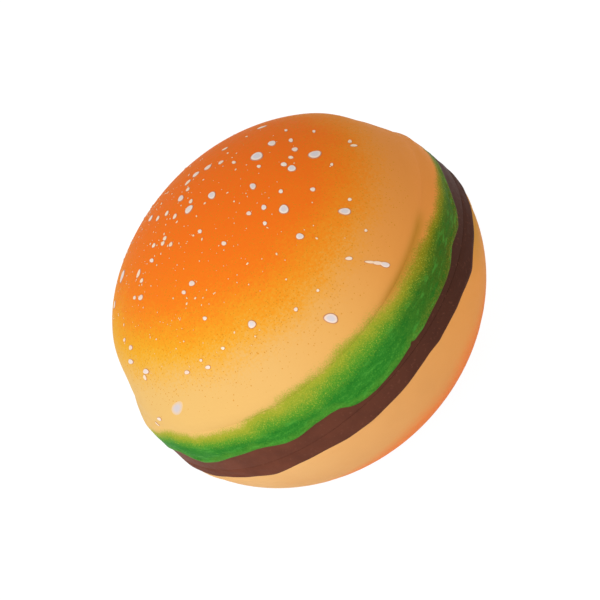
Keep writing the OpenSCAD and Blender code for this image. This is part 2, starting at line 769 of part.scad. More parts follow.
// Rubber sleeve with a lip that holds the capsule off the deck
module microphone_boot() {
    color("#222222") translate([0, mic_y, 0]) difference() {
        translate([0, 0, mic_boot_z]) cylinder(r = mic_boot_r, h = deck_low_z - mic_boot_z);
        translate([0, 0, mic_boot_z - 1])
            cylinder(r = mic_r + running, h = deck_low_z - mic_lip + running - mic_boot_z + 1);
        translate([0, 0, mic_low_z]) cylinder(r = mic_r - 1.4, h = mic_h + 2);
    }
}

// Cup of the ringer, open below, with a step that the sounding disc lies against
module ringer_housing() {
    in_r = ringer_d / 2 - ringer_t;
    step_z = disc_z + disc_t + running;
    color("#222222") translate([0, ringer_y, floor_z]) difference() {
        cylinder(r = ringer_d / 2, h = ringer_h);
        translate([0, 0, -1]) cylinder(r = in_r, h = step_z + 1);
        cylinder(r = in_r - 1, h = ringer_h - ringer_t);
    }
}

module ringer_disc() {
    color("gold") translate([0, ringer_y, floor_z + disc_z])
        cylinder(r = ringer_d / 2 - ringer_t - 0.1, h = disc_t);
}

module ballast_plate() {
    color("slategray") block([-28, -2, floor_z], [28, 17, floor_z + ballast_t]);
}

// Six-way socket, open at the back of the phone
module line_socket() {
    cavity_w = 9.8;
    mid = jack_low_z + jack_h / 2;
    back_y = jack_face_y - jack_depth;
    color("ivory") difference() {
        block([-jack_w / 2, back_y, jack_low_z], [jack_w / 2, jack_face_y, jack_low_z + jack_h]);
        block([-cavity_w / 2, back_y + 1.6, mid - 3.2], [cavity_w / 2, bun_r, mid + 3.6]);
        block([-3.2, back_y + 1.6, mid - 5], [3.2, bun_r, mid - 3]);
    }
}

module socket_contacts() {
    mid = jack_low_z + jack_h / 2;
    back_y = jack_face_y - jack_depth;
    color("gold") for (k = [-1.5:1:1.5])
        block([k * 1.27 - 0.25, back_y + 1.6, mid + 2.6], [k * 1.27 + 0.25, jack_face_y - 2, mid + 3]);
}

// Slide switch body, open below where the slider runs
module switch_body(x) {
    room_l = slider_l + 2 * slider_throw + 2 * slip;
    color("#222222") translate([x, switch_y, floor_z]) difference() {
        translate([0, 0, switch_h / 2]) cube([switch_l, switch_w, switch_h], center = true);
        translate([0, 0, slider_t / 2]) cube([room_l, slider_w + 2 * slip, slider_t + 2], center = true);
    }
}

// Slider, with a knob that reaches through the slot and stays clear of the table
module switch_slider(x) {
    knob_z = underside_z - 0.9;
    color(cream) translate([x, switch_y, 0]) {
        translate([-slider_l / 2, -slider_w / 2, floor_z + 0.2]) cube([slider_l, slider_w, slider_t]);
        translate([-knob_l / 2, -knob_w / 2, knob_z]) cube([knob_l, knob_w, floor_z + 1 - knob_z]);
    }
}

module hinge_pin() {
    color(steel) along_x(-side_end + 0.2, -pin_from, pin_d / 2);
}

module hinge_bush() {
    color("goldenrod") difference() {
        along_x(bush_from, bush_to, bush_d / 2);
        along_x(bush_from - 1, bush_to + 1, lead_bore_r);
    }
}

module base_lead() {
    down = [0, -sin(lead_tilt), -cos(lead_tilt)];
    turn = [lead_x, hinge_y, hinge_z];
    color("gray") tube(concat(
        [[lead_meet_x, hinge_y, hinge_z]],
        elbow(turn, [-1, 0, 0], down, lead_bend),
        smooth([turn + 12 * down, [lead_x, 57, 32.5], [lead_x, 48, 31], [lead_x, 38, 32],
                [lead_x, 35, 34], [lead_x, 34.8, 35.6]], 4),
        [[lead_x, 34.8, board_low_z]]), lead_d / 2, [1, 0, -1]);
}

module line_wires() {
    back_y = jack_face_y - jack_depth;
    color("firebrick") tube(concat([[4, back_y, 25.8]],
        smooth([[4, back_y - 0.8, 25.8], [6.5, back_y - 2, 26], [9.6, hook_y + 3.2, 27],
                [10, hook_y - 1.4, 29],
                [9.8, 34, 31.5], [9.5, 31, 33.8], [9.4, 30.4, 35.4]], 4),
        [[9.4, 30.4, board_low_z]]), wire_d / 2, [0.5, 0, 1]);
}

module ringer_wires() {
    top_z = floor_z + ringer_h;
    color("firebrick") tube(concat([[0, ringer_y, top_z]],
        smooth([[0, ringer_y, 14], [1, -18.5, 18], [5, -13, 25], [7, -8.6, 32], [7.4, -7.6, 35.4]], 4),
        [[7.4, -7.6, board_low_z]]), wire_d / 2, [1, 0, 0]);
}

module microphone_wires() {
    color("firebrick") tube(concat([[0, mic_y, mic_low_z]],
        smooth([[0, mic_y, 35.6], [0, -50, 33.6], [0, -45, 33], [0, -42, 34], [0, -41.6, 35.8]], 4),
        [[0, -41.6, board_low_z]]), wire_d / 2, [1, 0, 0]);
}

module lid_bumpers() {
    color("#222222") at(bumper_spots()) {
        translate([0, 0, deck_top_z]) cylinder(r = 3, h = lid_face_z - touch - deck_top_z);
        translate([0, 0, deck_top_z - 1]) cylinder(r = 2, h = 1.5);
    }
}

module rubber_feet() {
    color("#222222") at(corners(foot_ring_r * cos(45), foot_ring_r * cos(45)))
        cylinder(r = foot_r, h = foot_proud + foot_sink);
}

module base_screws() {
    color(steel) at(corners(post_xy, post_xy)) screw(seat_z, column_top_z + 10 - seat_z, 2);
}

top_bun();
lettuce_ring();
earpiece_plate();
lid_screws();
receiver_basket();
receiver_cone();
receiver_magnet();
receiver_clips();
receiver_screws();
lid_lead();
patty_ring();
bottom_bun();
keypad_deck();
key_mat();
circuit_board();
board_screws();
dialler_chip();
speech_chip();
line_transformer();
capacitors();
diodes();
crystal();
hook_plunger();
hook_spring();
hook_switch();
microphone();
microphone_boot();
ringer_housing();
ringer_disc();
ballast_plate();
line_socket();
socket_contacts();
switch_body(-switch_x);  // ringer_switch
switch_slider(-switch_x);  // ringer_slider
switch_body(switch_x);  // tone_switch
switch_slider(switch_x - slider_throw);  // tone_slider
hinge_pin();
hinge_bush();
base_lead();
line_wires();
ringer_wires();
microphone_wires();
lid_bumpers();
rubber_feet();
base_screws();
for (i = [0:11])
    key(key_spot(i), key_w, key_l);
for (i = [0:2])
    key(extra_spot(i), extra_w, extra_l);
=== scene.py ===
# Burger-shaped flip telephone: the looks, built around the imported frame.
# Metres, +Z up, the user sits at the front (-Y), the lid hinges at the back (+Y).
import math
import bmesh
import bpy
import numpy as np
from mathutils import Matrix, Vector


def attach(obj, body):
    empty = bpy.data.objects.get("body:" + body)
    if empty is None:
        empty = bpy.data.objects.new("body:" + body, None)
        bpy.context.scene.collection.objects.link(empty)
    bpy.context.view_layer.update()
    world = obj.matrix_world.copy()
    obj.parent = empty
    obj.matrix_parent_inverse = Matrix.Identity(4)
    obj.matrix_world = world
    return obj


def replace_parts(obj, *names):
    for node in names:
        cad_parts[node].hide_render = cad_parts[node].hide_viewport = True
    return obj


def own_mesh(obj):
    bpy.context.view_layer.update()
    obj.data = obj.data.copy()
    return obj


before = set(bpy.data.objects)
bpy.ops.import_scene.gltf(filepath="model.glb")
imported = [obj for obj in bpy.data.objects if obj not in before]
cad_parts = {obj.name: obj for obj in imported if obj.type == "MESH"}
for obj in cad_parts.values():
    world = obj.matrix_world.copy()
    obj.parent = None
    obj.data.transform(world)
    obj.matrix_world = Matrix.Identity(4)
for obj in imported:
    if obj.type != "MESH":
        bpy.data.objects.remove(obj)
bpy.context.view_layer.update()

MM = 0.001
scene = bpy.context.scene
scene.view_settings.view_transform = "Standard"


# ---- Camera -------------------------------------------------------------------------
# A long lens far from the burger, looking a third of the way down on its front and
# rolled so that the crown leans to the upper left of the frame.
look_down = math.radians(33.2)
roll = math.radians(47.4)
stand_off = 3.0
frame_pixels = 600
mm_per_pixel = 0.3535
level_right = Vector((1, 0, 0))
level_up = Vector((0, math.sin(look_down), math.cos(look_down)))
towards_camera = Vector((0, -math.cos(look_down), math.sin(look_down)))
image_right = math.cos(roll) * level_right - math.sin(roll) * level_up
image_up = math.sin(roll) * level_right + math.cos(roll) * level_up
burger_middle = Vector((0, 0, 51 * MM))
camera_place = burger_middle + stand_off * towards_camera
camera = bpy.data.objects.new("camera", bpy.data.cameras.new("camera"))
scene.collection.objects.link(camera)
camera_turn = Matrix((image_right, image_up, towards_camera)).transposed().to_4x4()
camera_turn.translation = camera_place
camera.matrix_world = camera_turn
film_width = 36          # mm
camera.data.sensor_width = film_width
camera.data.lens = film_width * stand_off / (frame_pixels * mm_per_pixel * MM)
camera.data.clip_end = 20
scene.camera = camera


# ---- Table and light ----------------------------------------------------------------
# A white laminate table top under even studio light, with one big soft lamp in front on
# the left, and a weak, lower one on the right. The table shows all but pure white to the
# camera, so only a faint trace of the burger's shadow is left on it.
def node(tree, kind, inputs=None, **settings):
    """Adds one shader node: sets its properties, and gives inputs a value or a link."""
    made = tree.nodes.new("ShaderNode" + kind)
    for name, value in settings.items():
        setattr(made, name, value)
    for socket, value in (inputs or {}).items():
        if isinstance(value, bpy.types.NodeSocket):
            tree.links.new(value, made.inputs[socket])
        else:
            made.inputs[socket].default_value = value
    return made


def paint(code):
    """sRGB hex to linear colour: c / 12.92 up to 0.04045, else ((c + 0.055) / 1.055) ^ 2.4."""
    c = np.array([int(code[i:i + 2], 16) for i in (1, 3, 5)]) / 255
    linear = np.where(c <= 0.04045, c / 12.92, ((c + 0.055) / 1.055) ** 2.4)
    return (*[float(v) for v in linear], 1.0)


def new_material(name):
    """Empty Principled material; returns it, its tree, its shader and its Object coordinates."""
    material = bpy.data.materials.new(name)
    material.use_nodes = True
    tree = material.node_tree
    shader = tree.nodes["Principled BSDF"]
    place = node(tree, "TexCoord").outputs["Object"]
    return material, tree, shader, place


def seen_by_viewer(tree):
    """1 for the rays a viewer sees by, straight, mirrored or through glass; 0 for the rest."""
    path = node(tree, "LightPath")
    seen = path.outputs["Is Camera Ray"]
    for way in ("Is Glossy Ray", "Is Transmission Ray"):
        seen = node(tree, "Math", {0: seen, 1: path.outputs[way]}, operation="MAXIMUM").outputs[0]
    return seen


white, tree, shader, _ = new_material("white_table_laminate")
laminate_tone, glow_tone, glow_share = 0.92, 1.08, 0.9
shader.inputs["Base Color"].default_value = (laminate_tone, laminate_tone, laminate_tone, 1)
shader.inputs["Roughness"].default_value = 0.7
share = node(tree, "Math", {0: seen_by_viewer(tree), 1: glow_share}, operation="MULTIPLY")
glow = node(tree, "Emission", {"Color": (1, 1, 1, 1), "Strength": glow_tone})
blend = node(tree, "MixShader", {0: share.outputs[0], 1: shader.outputs[0], 2: glow.outputs[0]})
tree.links.new(blend.outputs[0], tree.nodes["Material Output"].inputs["Surface"])
table_half = 4.0
table_mesh = bpy.data.meshes.new("table")
table_mesh.from_pydata([(-table_half, -table_half, 0), (table_half, -table_half, 0),
                        (table_half, table_half, 0), (-table_half, table_half, 0)],
                       [], [(0, 1, 2, 3)])
table = bpy.data.objects.new("table", table_mesh)
scene.collection.objects.link(table)
table_mesh.materials.append(white)

world = bpy.data.worlds.new("studio_air")
world.use_nodes = True
scene.world = world
tree = world.node_tree
air_light = 0.62
strength = node(tree, "MapRange", {0: seen_by_viewer(tree), 3: air_light, 4: 1.0})
tree.links.new(strength.outputs[0], tree.nodes["Background"].inputs["Strength"])
tree.nodes["Background"].inputs["Color"].default_value = (1, 1, 1, 1)

# (name, place, breadth in metres, watts, colour)
LAMPS = [("softbox", (-0.9, -0.6, 0.92), 0.9, 10.5, "#FFFBF5"),
         ("fill", (0.7, -0.9, 0.45), 1.0, 2.0, "#FFFFFF")]
for name, place, size, watts, tint in LAMPS:
    lamp = bpy.data.lights.new(name, "AREA")
    lamp.size = size
    lamp.energy = watts
    lamp.color = paint(tint)[:3]
    holder = bpy.data.objects.new(name, lamp)
    holder.location = place
    aim = Vector(place) - burger_middle
    holder.rotation_euler = aim.to_track_quat("Z", "Y").to_euler()
    scene.collection.objects.link(holder)


# ---- Lower bun ----------------------------------------------------------------------
# Injection-moulded ABS shell under a soft, matt sprayed coat: bread tan, with toasted
# orange fogged on round the foot. It stands on rubber feet and carries the whole base.
def coats(tree, colour, layers):
    """Paint in layers: each (share, tint) hides what is under it by its share."""
    for share, tint in layers:
        tint = paint(tint) if isinstance(tint, str) else tint
        colour = node(tree, "Mix", {0: share, 6: colour, 7: tint}, data_type="RGBA").outputs[2]
    return colour


def sprayed(tree, shader, place, colour, roughness=0.58, pores=0.03):
    """Finishes a sprayed soft-touch coat: orange-peel of 1.6 mm, pores of 0.35 mm, dull sheen.

    Bump height = pores * (0.7 * peel noise + 0.3 * pore noise), in millimetres."""
    peel = node(tree, "TexNoise", {"Vector": place, "Scale": 1 / (1.6 * MM), "Detail": 2.0})
    pore = node(tree, "TexNoise", {"Vector": place, "Scale": 1 / (0.35 * MM), "Detail": 1.0})
    height = node(tree, "Math", {0: peel.outputs["Fac"], 1: 0.7}, operation="MULTIPLY")
    height = node(tree, "Math", {0: pore.outputs["Fac"], 1: 0.3, 2: height.outputs[0]},
                  operation="MULTIPLY_ADD")
    bump = node(tree, "Bump", {"Height": height.outputs[0], "Distance": pores * MM})
    tree.links.new(bump.outputs[0], shader.inputs["Normal"])
    gloss = node(tree, "MapRange", {0: peel.outputs["Fac"], 1: 0.3, 2: 0.7,
                                    3: roughness - 0.06, 4: roughness + 0.06})
    tree.links.new(gloss.outputs[0], shader.inputs["Roughness"])
    tree.links.new(colour, shader.inputs["Base Color"])
    shader.inputs["Specular IOR Level"].default_value = 0.03   # dull, rubbery top coat


def heel_coat(tree, place):
    """Heel colour: tan clouded every 20 mm, toasted orange below some 20 mm, higher by 0.07
    of x towards the right, and green-gold overspray on the right, near the patty. The tan goes
    darker and more orange to the right: partly warmer paint, partly painted shade."""
    axes = node(tree, "SeparateXYZ", {0: place})
    across = node(tree, "MapRange", {0: axes.outputs["X"], 1: -55 * MM, 2: 55 * MM}).outputs[0]
    cloud = node(tree, "TexNoise", {"Vector": place, "Scale": 1 / (20 * MM), "Detail": 3.0}
                 ).outputs["Fac"]
    fog = node(tree, "TexNoise", {"Vector": place, "Scale": 1 / (0.8 * MM), "Detail": 3.0}
               ).outputs["Fac"]
    blush = node(tree, "MapRange", {0: cloud, 1: 0.4, 2: 0.75, 3: 0.0, 4: 0.4}).outputs[0]
    right = node(tree, "MapRange", {0: axes.outputs["X"], 1: 44 * MM, 2: 62 * MM},
                 interpolation_type="SMOOTHSTEP").outputs[0]
    high = node(tree, "MapRange", {0: axes.outputs["Z"], 1: 27 * MM, 2: 38 * MM, 3: 0.0, 4: 0.8},
                interpolation_type="SMOOTHSTEP").outputs[0]
    gold = node(tree, "Math", {0: right, 1: high}, operation="MULTIPLY").outputs[0]
    lift = axes.outputs["Z"]
    for cause, height in ((cloud, 9 * MM), (fog, 7 * MM), (axes.outputs["X"], -0.07)):
        lift = node(tree, "Math", {0: cause, 1: height, 2: lift}, operation="MULTIPLY_ADD"
                    ).outputs[0]
    toast = node(tree, "MapRange", {0: lift, 1: 31.5 * MM, 2: 20 * MM, 3: 0.0, 4: 0.85},
                 interpolation_type="SMOOTHSTEP").outputs[0]
    # the tan's darker, more orange tint to the right is partly warmer paint, partly painted shade
    return coats(tree, paint("#E3B275"), [(across, "#E89A4B"), (blush, "#D99A58"),
                                          (gold, "#C68E38"), (toast, "#F3853A")])


# rubbery sprayed paint: matt, finely pored, soft at every change of colour
heel, tree, shader, place = new_material("heel_bun_soft_touch_paint")
sprayed(tree, shader, place, heel_coat(tree, place))


def wear(name, material):
    """Puts one material in every slot of a CAD node's object."""
    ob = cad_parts[name]
    if not ob.material_slots:
        ob.data.materials.append(material)
    for slot in ob.material_slots:
        slot.material = material


wear("bottom_bun", heel)


# ---- Patty --------------------------------------------------------------------------
# A moulded ring under a hand-brushed brown coat. The ring carries the deck and the outer
# hinge knuckles; a thin uneven brown skin is moulded over its outside.
def brushed_brown(tree, place):
    """Patty colour: brown, darker at the right, clouded every 9 mm, flecked every 1 mm."""
    axes = node(tree, "SeparateXYZ", {0: place})
    across = node(tree, "MapRange", {0: axes.outputs["X"], 1: -60 * MM, 2: 45 * MM}).outputs[0]
    cloud = node(tree, "TexNoise", {"Vector": place, "Scale": 1 / (9 * MM), "Detail": 4.0})
    grain = node(tree, "TexNoise", {"Vector": place, "Scale": 1 / (1.1 * MM), "Detail": 3.0})
    patch = node(tree, "MapRange", {0: cloud.outputs["Fac"], 1: 0.4, 2: 0.7, 3: 0.0, 4: 0.45})
    fleck = node(tree, "MapRange", {0: grain.outputs["Fac"], 1: 0.6, 2: 0.74, 3: 0.0, 4: 0.35})
    return coats(tree, paint("#6D3E2F"), [(across, "#482A20"), (patch.outputs[0], "#482A22"),
                                          (fleck.outputs[0], "#80503F")])


# thick brushed paint: uneven in tone and duller than the sprayed coats
patty, tree, shader, place = new_material("patty_brown_brushed_paint")
sprayed(tree, shader, place, brushed_brown(tree, place), roughness=0.62, pores=0.05)
# the ring's foot, below the brown skin, is sprayed with the heel
ring_coats, tree, shader, place = new_material("patty_ring_brown_over_tan_paint")
height = node(tree, "SeparateXYZ", {0: place}).outputs["Z"]
brown_low_z = 43.6
share = node(tree, "MapRange", {0: height, 1: (brown_low_z - 0.1) * MM,
                                2: (brown_low_z + 0.1) * MM}).outputs[0]
coat = coats(tree, heel_coat(tree, place), [(share, brushed_brown(tree, place))])
sprayed(tree, shader, place, coat, roughness=0.62, pores=0.05)
wear("patty_ring", ring_coats)


def around(table, degrees, soften=2.0):
    """Height read from (azimuth, height) pairs, joined round the circle and softened.

    Linear between the pairs on a fine circular scale, then a moving mean of `soften`
    degrees, so that the curve has no corners."""
    fine_step = 0.25
    fine = np.arange(-180, 180, fine_step)
    marks = np.array(table, float)
    level = np.interp(fine, marks[:, 0], marks[:, 1], period=360)
    half = int(soften / fine_step)
    window = np.hanning(2 * half + 3)
    window /= window.sum()
    padded = np.concatenate([level[-half - 1:], level, level[:half + 1]])
    level = np.convolve(padded, window, "valid")
    return np.interp(degrees, fine, level, period=360)


def grid_mesh(name, points, wrap_u, wrap_v, cap=False, merge=1e-7):
    """Mesh of a grid of points (u, v, xyz): one quad between each four neighbours.

    A wrapped direction joins its last row to its first. Coincident points are merged,
    which closes seams and poles. `cap` fills the two end loops of u."""
    nu, nv = points.shape[:2]
    u = np.arange(nu if wrap_u else nu - 1)
    v = np.arange(nv if wrap_v else nv - 1)
    uu, vv = np.meshgrid(u, v, indexing="ij")
    u2, v2 = (uu + 1) % nu, (vv + 1) % nv
    quads = np.stack([uu * nv + vv, u2 * nv + vv, u2 * nv + v2, uu * nv + v2], -1)
    faces = quads.reshape(-1, 4).tolist()
    if cap:
        faces += [list(range(nv)), list(range((nu - 1) * nv, nu * nv))[::-1]]
    mesh = bpy.data.meshes.new(name)
    mesh.from_pydata(points.reshape(-1, 3).tolist(), [], faces)
    work = bmesh.new()
    work.from_mesh(mesh)
    bmesh.ops.remove_doubles(work, verts=work.verts, dist=merge)
    work.to_mesh(mesh)
    work.free()
    mesh.polygons.foreach_set("use_smooth", [True] * len(mesh.polygons))
    return mesh


def piece(name, mesh, material, body):
    """Adds a finished piece at the origin, riding on a body."""
    ob = bpy.data.objects.new(name, mesh)
    scene.collection.objects.link(ob)
    mesh.materials.append(material)
    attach(ob, body)
    return ob


def ripple(degrees, seed, waves):
    """Sum of sines round the circle: waves are (count, height), with seeded phases."""
    phase = np.random.default_rng(seed).uniform(0, 2 * np.pi, len(waves))
    a = np.radians(degrees)
    return sum(h * np.sin(n * a + p) for (n, h), p in zip(waves, phase))


def step(x):
    """Smooth step: 0 below 0, 1 above 1, 3x^2 - 2x^3 between."""
    x = np.clip(x, 0, 1)
    return x * x * (3 - 2 * x)


# (azimuth in degrees, height in mm) of the brown skin's lower edge; the front is -90
PATTY_EDGE = [(-180, 41.0), (-160, 41.3), (-155, 41.6), (-150, 41.4), (-144, 41.0), (-141, 40.4),
              (-137, 39.9), (-132, 40.3), (-127, 40.8), (-118, 40.6), (-114, 40.2), (-110, 39.5),
              (-105, 39.3), (-101, 39.1), (-95, 39.3), (-86, 39.4), (-80, 40.0), (-76, 40.2),
              (-73, 39.8), (-71, 39.4), (-68.5, 39.8), (-64, 39.8), (-59.5, 39.5), (-55, 39.8),
              (-50, 39.1), (-45.5, 38.7), (-42, 39.5), (-39, 39.9), (-30, 40.2), (-15, 40.2),
              (0, 39.6), (15, 39.2), (30, 38.7), (45, 39.3), (60, 38.9), (72, 38.6),
              (108, 38.6), (120, 39.1), (135, 38.5), (150, 39.4), (165, 39.8)]
patty_seam_z = 46.6
notch_edge_x = 19.4
patty_skin_r, skin_back_r, widest_r = 69.3, 68.25, 69.9
half_gap = math.degrees(math.asin(notch_edge_x / patty_skin_r))
degrees = np.linspace(90 + half_gap, 450 - half_gap, 760)
low = around(PATTY_EDGE, degrees)[:, None]
a = np.radians(degrees)[:, None]
# up the outside: edges tucked in by 0.35 mm below and 0.1 mm above, a belly of 0.22 mm,
# slow waves and shallow slanting brush marks
t = np.linspace(0, 1, 24)[None, :]
z = low + (patty_seam_z - low) * t
belly = 0.22 * step(t / 0.25) * step((1 - t) / 0.3)
waves = ripple(degrees, 3, [(7, .07), (13, .07), (22, .05)])[:, None] * np.sin(np.pi * t)
brush_marks = 0.06 * np.sin(a * 31 + 9 * t)
tucks = 0.35 * (1 - step(t / 0.16)) + 0.1 * (1 - step((1 - t) / 0.06))
r = patty_skin_r - tucks + belly + waves + brush_marks
# and down the back, which stands on the ring
back_t = np.linspace(1, 0, 5)[None, :]
back_z = low + 0.05 + (patty_seam_z - 0.1 - low) * back_t
back_r = np.broadcast_to(skin_back_r + 0.15 * back_t, back_z.shape)
r = np.minimum(np.concatenate([r, back_r], 1), widest_r)
z = np.concatenate([z, back_z], 1)
skin = np.stack([r * np.cos(a), r * np.sin(a), z], -1) * MM
piece("patty_skin", grid_mesh("patty_skin", skin, False, True, cap=True), patty, "base")


# ---- Lettuce ------------------------------------------------------------------------
# One ring moulded in ABS under the upper bun. A wavy leaf stands half a millimetre proud
# of a brown skirt, which carries the patty's colour up to it; the coats are airbrushed.

# (azimuth, height in mm) of the leaf's lower edge
LEAF_EDGE = [(-176, 52.4), (-170, 54.4), (-166, 55.4), (-162, 52.8), (-158, 51.2), (-151, 52.2),
             (-145, 53.8), (-140, 54.4), (-134, 54.8), (-131, 54.3), (-128, 53.2), (-125, 52.2),
             (-121, 51.9), (-118, 52.4), (-114, 53.1), (-108, 53), (-105, 52.2), (-103, 50.2),
             (-101, 49), (-98, 48.2), (-94, 47.8), (-88, 48), (-84, 48.2), (-79, 48.9),
             (-77.8, 48.9), (-77.2, 50.4), (-76.6, 48.9), (-72, 48.6), (-66, 49.2), (-55, 49.2),
             (-51, 49.5), (-48, 50.4), (-44.5, 51.4), (-41, 50.8), (-36, 49.7), (-33, 50.2),
             (-30, 50.9), (-27, 52.4), (-23, 53.7), (-20, 54.7), (-15, 55.2), (-8, 54.2), (0, 51.6),
             (10, 51), (20, 51.6), (30, 52.8), (40, 54.2), (48, 54.6), (56, 53.2), (66, 52),
             (75, 52.8), (105, 53.2), (114, 54.2), (124, 52.6), (134, 51.6), (144, 52.4),
             (154, 52.6), (166, 50.8), (176, 50.8)]
# (azimuth, height in mm) where the green spray thins out upwards
LEAF_TOP = [(-178, 59), (-174, 61), (-170, 62.6), (-165, 63.7), (-155, 63.5), (-145, 63.4),
            (-135, 64), (-120, 65.6), (-108, 65), (-100, 65.3), (-90, 65.8), (-80, 64.9),
            (-70, 63.5), (-60, 62.3), (-50, 62.8), (-42, 62), (-36, 61),
            (-30, 60), (-20, 58.9), (-10, 58.6), (0, 57.6), (20, 57.8), (40, 60), (60, 62),
            (90, 63.6), (120, 63.4), (136, 61.6), (150, 58), (160, 56), (168, 55.6), (176, 57)]
# (azimuth, width in mm) over which it thins out
SPRAY_WIDTH = [(-180, 1.8), (-150, 1.8), (-135, 2.6), (-120, 3.6), (-90, 4), (-75, 3.4),
               (-60, 2.6), (-45, 2.2), (-30, 1.8), (0, 1.8), (60, 2.6), (140, 3)]
crease_z = 66.0
bun_r, waist_z, crown_rise = 70.0, 51.0, 58.0      # the bun that it meets
roll_in, roll_filled = 1.8, 0.72
skirt_low_z = 46.75
leaf_stand = 0.45
# (height, radius) of the ring's own bulge, from the skirt up to the crease below the bun
RING_BULGE = [(46, 69.35), (57, 69.35), (59, 69.15), (61, 68.7), (62.5, 68), (64, 67),
              (65, 66.3), (65.6, 65.95), (66, 65.8)]


def ring_radius(height):
    """Radius of the bare ring at a height: the bulge's marks joined by a smooth curve."""
    marks = np.array(RING_BULGE)
    fine = np.linspace(46, 66, 401)
    level = np.interp(fine, marks[:, 0], marks[:, 1])
    window = np.hanning(17)
    padded = np.pad(level, 8, "edge")
    return np.interp(height, fine, np.convolve(padded, window / window.sum(), "valid"))


def crease_rise(turn):
    """Height in mm by which the crease wanders from 66 mm, at each azimuth."""
    return around([(-180, 0), (-84, 0), (-45, 0.5), (-30, 0.8), (0, 1.2), (30, 1.0), (70, 0)],
                  turn, 12)


def crease_fill(turn):
    """Share of the crease that is filled with paint, at each azimuth."""
    return around([(-180, 0.9), (-160, 0.6), (-140, 0), (-60, 0), (-42, 0.3), (-26, 0.65),
                   (-10, 0.9), (2, 0.9), (16, 0.2), (30, 0), (140, 0), (158, 0.9)], turn, 10)


def roll_depth(turn):
    """Depth in mm of the bun's roll-in at each azimuth, up to 72% less where it is filled."""
    return roll_in * (1 - roll_filled * crease_fill(turn))


def crease_radius(turn):
    """Radius in mm where ring and bun meet: the bun's oval there, less 0.1 mm for its slow
    waves and less its roll-in."""
    oval = bun_r * np.sqrt(1 - ((crease_z + crease_rise(turn) - waist_z) / crown_rise) ** 2)
    return oval - 0.1 - roll_depth(turn)


def leaf_relief(above, fade):
    """Height of the leaf over the ring, `above` mm above its edge: a quarter-round nose
    0.6 mm high, a rolled lip near 1.1 mm, a shallow valley near 2.9 mm, then fading out."""
    nose = np.sqrt(np.clip(1 - (1 - np.clip(above / 0.6, 0, 1)) ** 2, 0, 1))
    lip = 0.12 * np.exp(-((above - 1.1) / 0.7) ** 2) - 0.16 * np.exp(-((above - 2.9) / 0.9) ** 2)
    return (leaf_stand * nose + lip) * fade


def pinch(turn, height):
    """Squeeze of the sides in mm, a bell curve of azimuth on each side: 1.9 at the left from
    62 to 72 mm up, and 1.9 at the right from 53 mm up, where a shoulder in front of azimuth
    14 is left standing between 60 and 72 mm."""
    depth, shoulder_start = 1.9, 14
    left_middle, left_spread, right_middle, right_spread = 163, 17, 20, 24
    left, right = [(turn - middle + 180) % 360 - 180 for middle in (left_middle, right_middle)]
    in_front = step((shoulder_start - right_middle - right) / 14)
    shoulder = 0.85 * step((height - 60) / 4) * step((72 - height) / 5) * in_front
    left = depth * np.exp(-(left / left_spread) ** 2)
    left = left * step((height - 57.5) / 5) * step((82 - height) / 10)
    right = depth * np.exp(-(right / right_spread) ** 2) * step((height - 50.7) / 2.5)
    return left + right * (1 - shoulder) * step((84 - height) / 10)


# up the outside: the skirt, the leaf's rolled nose, then the bulge up to the crease. The
# relief fades out above fade_z. Above follow_z the bulge wanders with the crease, and above
# meet_z it runs over into the bun's radius
leaf_edge_soften, leaf_widest_r = 0.9, 69.95
fade_z, follow_z, meet_z, relief_top_z = 59, 58, 60, crease_z - 0.5
degrees = np.arange(900) * 0.4 - 180
a = np.radians(degrees)[:, None]
edge = around(LEAF_EDGE, degrees, leaf_edge_soften)[:, None]
skirt = skirt_low_z + (edge - skirt_low_z) * np.linspace(0, 1, 9)[None, :]
nose = edge + np.array([.02, .07, .15, .26, .42, .62, .85, 1.1, 1.4, 1.75, 2.15, 2.6, 3.1])
rise = crease_rise(degrees)[:, None]
upper = nose[:, -1:] + (crease_z + rise - nose[:, -1:]) * np.linspace(0, 1, 25)[None, 1:]
z = np.concatenate([skirt, nose, upper], 1)
above = z - edge
fade = 1 - step((z - fade_z) / (relief_top_z - fade_z))
bulge_z = z - rise * np.clip((z - follow_z) / (crease_z - follow_z + rise), 0, 1)
meet = crease_radius(degrees)[:, None] - RING_BULGE[-1][1]
r = ring_radius(bulge_z) + meet * step((bulge_z - meet_z) / (crease_z - meet_z))
r = r + np.where(above > 0, leaf_relief(above, fade), 0)
# slow waves, and fine creases up the leaf, both smoothed out at its edge and higher up
waves = ripple(degrees, 8, [(9, .05), (17, .06), (29, .05)])[:, None]
waves = waves * step(above / 1.5) * step((relief_top_z - z) / 3)
creases = 0.05 * np.sin(a * 61 + 2.2 * np.sin(a * 13) + 0.5 * z)
creases = creases * step(above / 1.2) * step((60 - z) / 4)
r = np.minimum(r + waves + creases, leaf_widest_r) - pinch(degrees[:, None], z)
# and down the inside: (radius, height) past the bun's spigot, the plate's seat and the skirt
INNER_SIDE = [(65.3, 66), (63.4, 66), (63.4, 63.6), (66.2, 60.6), (67.2, 57), (67.2, 55.8),
              (64, 55.6), (64, 53.4), (67, 53.4), (67, 50.9), (68.9, 50.9), (68.9, 46.8),
              (69.1, 46.75)]
inner_r, inner_z = [np.tile(column, (len(degrees), 1)) for column in np.array(INNER_SIDE).T]
inner_r[:, 0] = r[:, -1] - 0.5        # the first point keeps 0.5 mm inside the crease
inner_z[:, :2] += rise
r = np.concatenate([r, inner_r], 1)
z = np.concatenate([z, inner_z], 1)
mesh = grid_mesh("lettuce_ring_blank", np.stack([r * np.cos(a), r * np.sin(a), z], -1) * MM,
                 True, True)


